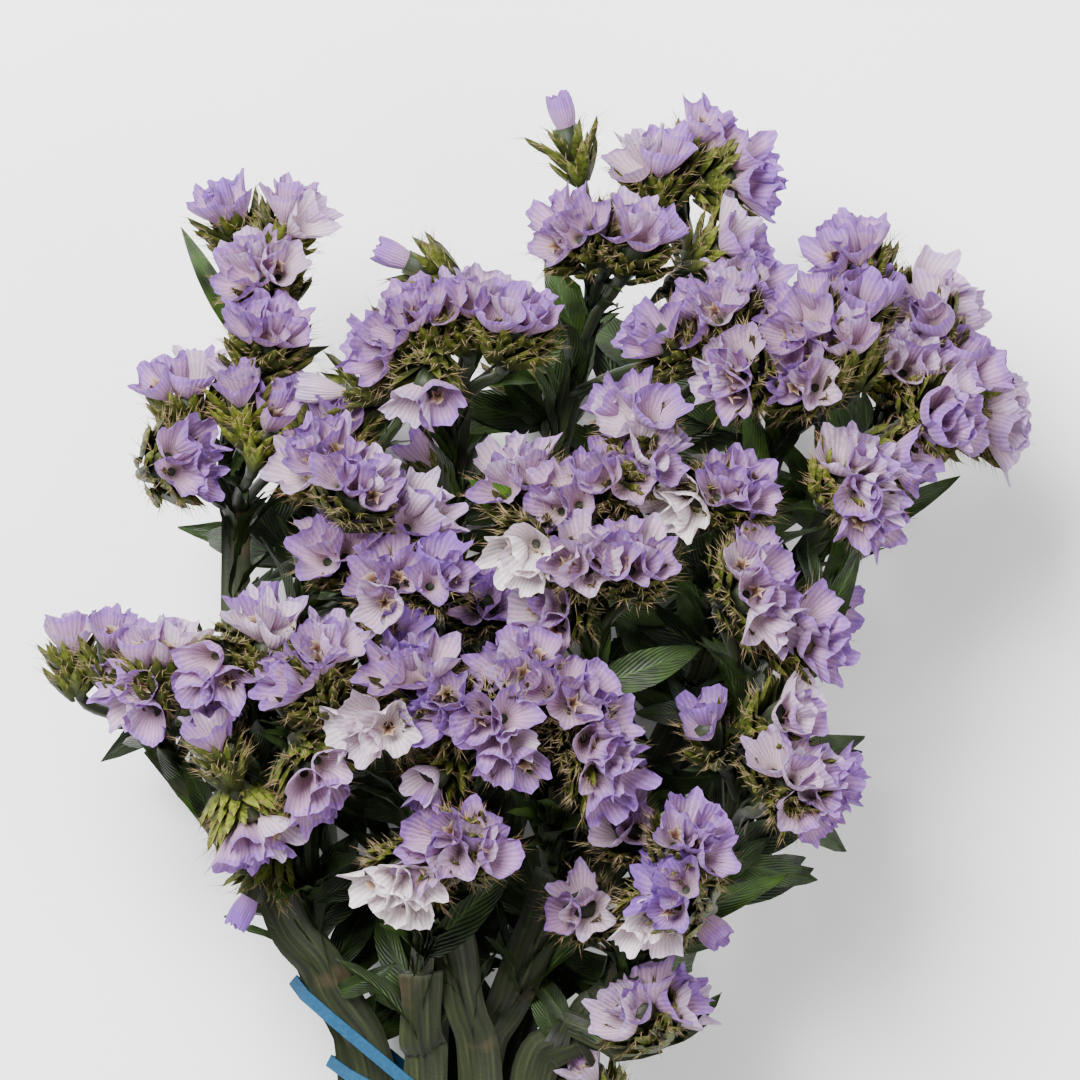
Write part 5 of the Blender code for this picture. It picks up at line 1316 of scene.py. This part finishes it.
def shade_fill_leaves():
    """Dark leaves behind the heads, partly real leaves and partly painted shade that fills the dark deep in the bunch,
    each on the nearest stem, as the stem's name and the leaf's row.
    """
    draw = random.Random(RANDOM_SEED)
    points = [(s["stem"], p) for s in plan()["strands"] for p in s["points"] if p.y > 0]
    found = []
    for x, y, radius in SHADE_FILL:
        for _ in range(round(radius ** 2 * math.pi * SHADE_FILL_SHARE)):
            turn, out = draw.uniform(0, math.tau), radius * math.sqrt(draw.random())
            aim = Vector((x + out * math.cos(turn), y + out * math.sin(turn), draw.uniform(*SHADE_FILL_HEIGHTS)))
            stem, root = min(points, key=lambda pair: abs((pair[1] - aim).length - 8) + 4 * (pair[1].y > aim.y))
            way = (aim - root).normalized()
            length = min(30.0, (aim - root).length + draw.uniform(6, 10))
            size = (min(9.0, length * 0.36) / 1000, length / 1000, length / 1000)
            across = Vector((0, 0, 1)).cross(way) + Vector([draw.uniform(-0.3, 0.3) for _ in range(3)])
            found.append((stem, (root, way, across, size, draw.randrange(3), draw.uniform(0, 0.3))))
    return found


def finish(piece, surface, nodes):
    """Gives a piece its material, and says which body and nodes it stands for."""
    if not piece.data.materials:
        piece.data.materials.append(surface)
    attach(piece, "root")
    if nodes:
        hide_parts(*nodes)


# Settings, operators and panel


def hexed(name, value, description):
    return bpy.props.StringProperty(name=name, default=value, description=description)


class StaticeSettings(bpy.types.PropertyGroup):
    calyx_length: bpy.props.FloatProperty(
        name="Calyx length", default=0.0102, subtype="DISTANCE", unit="LENGTH", description="Foot to rim of a calyx")
    calyx_width: bpy.props.FloatProperty(
        name="Calyx width", default=0.0096, subtype="DISTANCE", unit="LENGTH", description="Across a calyx's rim")
    bract_length: bpy.props.FloatProperty(
        name="Bract length", default=0.0092, subtype="DISTANCE", unit="LENGTH", description="Foot to tip of a bract")
    calyx_foot: hexed("Calyx foot", "#c0aa96", "Colour of a calyx's tube")
    calyx_middle: hexed("Calyx middle", "#c4a3b9", "Colour half way up a calyx")
    calyx_limb: hexed("Calyx limb", "#b08ab2", "Colour of a calyx's limb")
    calyx_rim: hexed("Calyx rim", "#9870b3", "Colour of a calyx's rim")
    calyx_violet: hexed("Young calyx", "#865cb6", "Colour of the rim of a young calyx")
    calyx_bleached: hexed("Bleached calyx", "#eee6e4", "Colour of a bleached calyx")
    bract_green: hexed("Bract", "#30360f", "Colour of a bract")
    bract_bright: hexed("Young bract", "#6f7a22", "Colour of a young bract")
    bristle: hexed("Bristle", "#a39372", "Colour of a bristle")
    bristle_pink: hexed("Young bristle", "#a87a66", "Colour of a young bract's bristle")
    # The three stem colours are darkened as painted shade for the stems deep in the bunch.
    stem_dark_in_shade: hexed("Stem groove", "#0d1108", "Colour of a stem's grooves")
    stem_green: hexed("Stem", "#20260f", "Colour of a stem")
    stem_pale_in_shade: hexed("Stem ridge", "#363d22", "Colour of a stem's ridges")
    stem_brown: hexed("Stem scar", "#5a4632", "Colour of the browned places on a stem")
    # The dark leaf colours also colour the leaves behind the heads that are partly painted shade.
    leaf_dark: hexed("Dark leaf", "#0a1004", "Darkest colour of a leaf")
    leaf_middle: hexed("Leaf", "#1a2809", "Middle colour of a leaf")
    leaf_bright: hexed("Bright leaf", "#4a6e1e", "Brightest colour of a leaf")
    leaf_rib: hexed("Midrib", "#2a4016", "Colour of a leaf's midrib")
    throat: hexed("Throat", "#4f3020", "Colour of a withered corolla's throat")
    corolla: hexed("Corolla", "#826a58", "Colour of a withered corolla's lobes")
    band_blue: hexed("Band", "#12304a", "Colour of the rubber band")


class STATICE_OT_calyces(bpy.types.Operator):
    """Build the papery calyces of every stem"""
    bl_idname = "statice.calyces"
    bl_label = "Calyces"

    def execute(self, context):
        s = context.scene.statice
        meshes = [
            calyx_mesh("calyx_wide", 3, s, fullness=1.0),
            calyx_mesh("calyx_ruffled", 5, s, fullness=0.8, ruffle=1.35, width=1.05),
            calyx_mesh("calyx_narrow", 8, s, fullness=1.3, width=0.85, closed=0.2),
            calyx_mesh("calyx_leaning", 13, s, fullness=0.9, ruffle=1.1, lean=1.8),
            calyx_mesh("calyx_crumpled", 21, s, fullness=1.1, ruffle=1.6, width=0.95),
            calyx_mesh("calyx_bud", 34, s, fullness=1.1, ruffle=0.6, closed=1.0, width=0.7),
            calyx_mesh("calyx_rounded", 55, s, fullness=0.6, ruffle=0.6, closed=0.7, width=1.1),
        ]
        surface = papery_calyx(s)
        tree = scatter_tree("calyces", store("calyx", meshes), surface)
        for stem in STEMS:
            piece = scattered(stem + "_calyces", calyx_rows(stem), tree)
            nodes = [n for n in frame["nodes"] if n.startswith(stem + "_heads_")]
            finish(piece, surface, nodes)
        return {"FINISHED"}


class STATICE_OT_corollas(bpy.types.Operator):
    """Build the withered corollas inside the calyces"""
    bl_idname = "statice.corollas"
    bl_label = "Corollas"

    def execute(self, context):
        surface = dried_corolla(context.scene.statice)
        tree = scatter_tree("corollas", store("corolla", [corolla_mesh("corolla", n) for n in (1, 2, 3)]), surface)
        for stem in STEMS:
            finish(scattered(stem + "_corollas", corolla_rows(stem), tree), surface, [])
        return {"FINISHED"}


class STATICE_OT_bracts(bpy.types.Operator):
    """Build the bristly bracts under every head"""
    bl_idname = "statice.bracts"
    bl_label = "Bracts"

    def execute(self, context):
        s = context.scene.statice
        surface = hairy_bract(s)
        tree = scatter_tree("bracts", store("bract", [bract_mesh("bract", n, s) for n in (1, 2, 3, 4)]), surface)
        for stem in STEMS:
            finish(scattered(stem + "_bracts", bract_rows(stem), tree), surface, [])
        return {"FINISHED"}


class STATICE_OT_leaves(bpy.types.Operator):
    """Build the leaves, the small pointed leaves at the forks, and the dark leaves behind the heads that are partly
    painted shade
    """
    bl_idname = "statice.leaves"
    bl_label = "Leaves"

    def execute(self, context):
        surface = veined_leaf(context.scene.statice)
        tree = scatter_tree("leaves", store("blade", [blade_mesh("blade", n) for n in (1, 2, 3)]), surface)
        for stem in STEMS:
            finish(scattered(stem + "_leaves", leaf_rows(stem), tree), surface, [])
        return {"FINISHED"}


class STATICE_OT_stalks(bpy.types.Operator):
    """Build the winged trunks, limbs and branches"""
    bl_idname = "statice.stalks"
    bl_label = "Stalks"

    def execute(self, context):
        surface = winged_stem(context.scene.statice)
        for stem in STEMS:
            piece = bpy.data.objects.new(stem + "_stalks", stem_mesh(stem))
            context.scene.collection.objects.link(piece)
            finish(piece, surface, [stem + "_stem"])
        return {"FINISHED"}


class STATICE_OT_band(bpy.types.Operator):
    """Give the rubber band its finish"""
    bl_idname = "statice.band"
    bl_label = "Rubber band"

    def execute(self, context):
        frame["nodes"]["rubber_band"].material_slots[0].material = band_rubber(context.scene.statice)
        return {"FINISHED"}


class STATICE_OT_stage(bpy.types.Operator):
    """Build the floor, the lights and the camera"""
    bl_idname = "statice.stage"
    bl_label = "Stage"

    def execute(self, context):
        bm = bmesh.new()
        bmesh.ops.create_grid(bm, x_segments=1, y_segments=1, size=FLOOR_SIZE / 2)
        mesh = bpy.data.meshes.new("floor")
        bm.to_mesh(mesh)
        bm.free()
        floor = bpy.data.objects.new("floor", mesh)
        context.scene.collection.objects.link(floor)
        mesh.materials.append(studio_paper())

        world = bpy.data.worlds.new("studio")
        world.use_nodes = True
        world.node_tree.nodes["Background"].inputs[0].default_value = (1.0, 1.0, 1.0, 1.0)
        world.node_tree.nodes["Background"].inputs[1].default_value = AMBIENT
        context.scene.world = world
        for name, at, size, power in LIGHTS:
            lamp = bpy.data.lights.new(name, "AREA")
            lamp.shape = "DISK"
            lamp.size = size
            lamp.energy = power
            obj = bpy.data.objects.new(name, lamp)
            context.scene.collection.objects.link(obj)
            obj.location = at
            obj.rotation_euler = (Vector(AIM) - Vector(at)).to_track_quat("-Z", "Y").to_euler()

        camera = bpy.data.cameras.new("camera")
        camera.sensor_width = SENSOR
        camera.lens = SENSOR * (CAMERA_HEIGHT - VIEW_DEPTH) / VIEW_WIDTH
        camera.clip_end = 10.0
        eye = bpy.data.objects.new("camera", camera)
        context.scene.collection.objects.link(eye)
        eye.location = (VIEW_MIDDLE[0], VIEW_MIDDLE[1], CAMERA_HEIGHT)
        context.scene.camera = eye
        return {"FINISHED"}


OPERATORS = (STATICE_OT_stalks, STATICE_OT_leaves, STATICE_OT_bracts, STATICE_OT_calyces, STATICE_OT_corollas,
             STATICE_OT_band, STATICE_OT_stage)


class STATICE_PT_panel(bpy.types.Panel):
    """Lists the parts of the bunch"""
    bl_idname = "STATICE_PT_panel"
    bl_label = "Dried statice"
    bl_space_type = "VIEW_3D"
    bl_region_type = "UI"
    bl_category = "Statice"

    def draw(self, context):
        for operator in OPERATORS:
            self.layout.operator(operator.bl_idname)


CLASSES = (StaticeSettings,) + OPERATORS + (STATICE_PT_panel,)


def register():
    for made in CLASSES:
        bpy.utils.register_class(made)
    bpy.types.Scene.statice = bpy.props.PointerProperty(type=StaticeSettings)


def unregister():
    del bpy.types.Scene.statice
    for made in reversed(CLASSES):
        bpy.utils.unregister_class(made)


def main():
    register()
    bpy.ops.statice.stalks()
    bpy.ops.statice.leaves()
    bpy.ops.statice.bracts()
    bpy.ops.statice.calyces()
    bpy.ops.statice.corollas()
    bpy.ops.statice.band()
    bpy.ops.statice.stage()


if __name__ == "__main__":
    main()
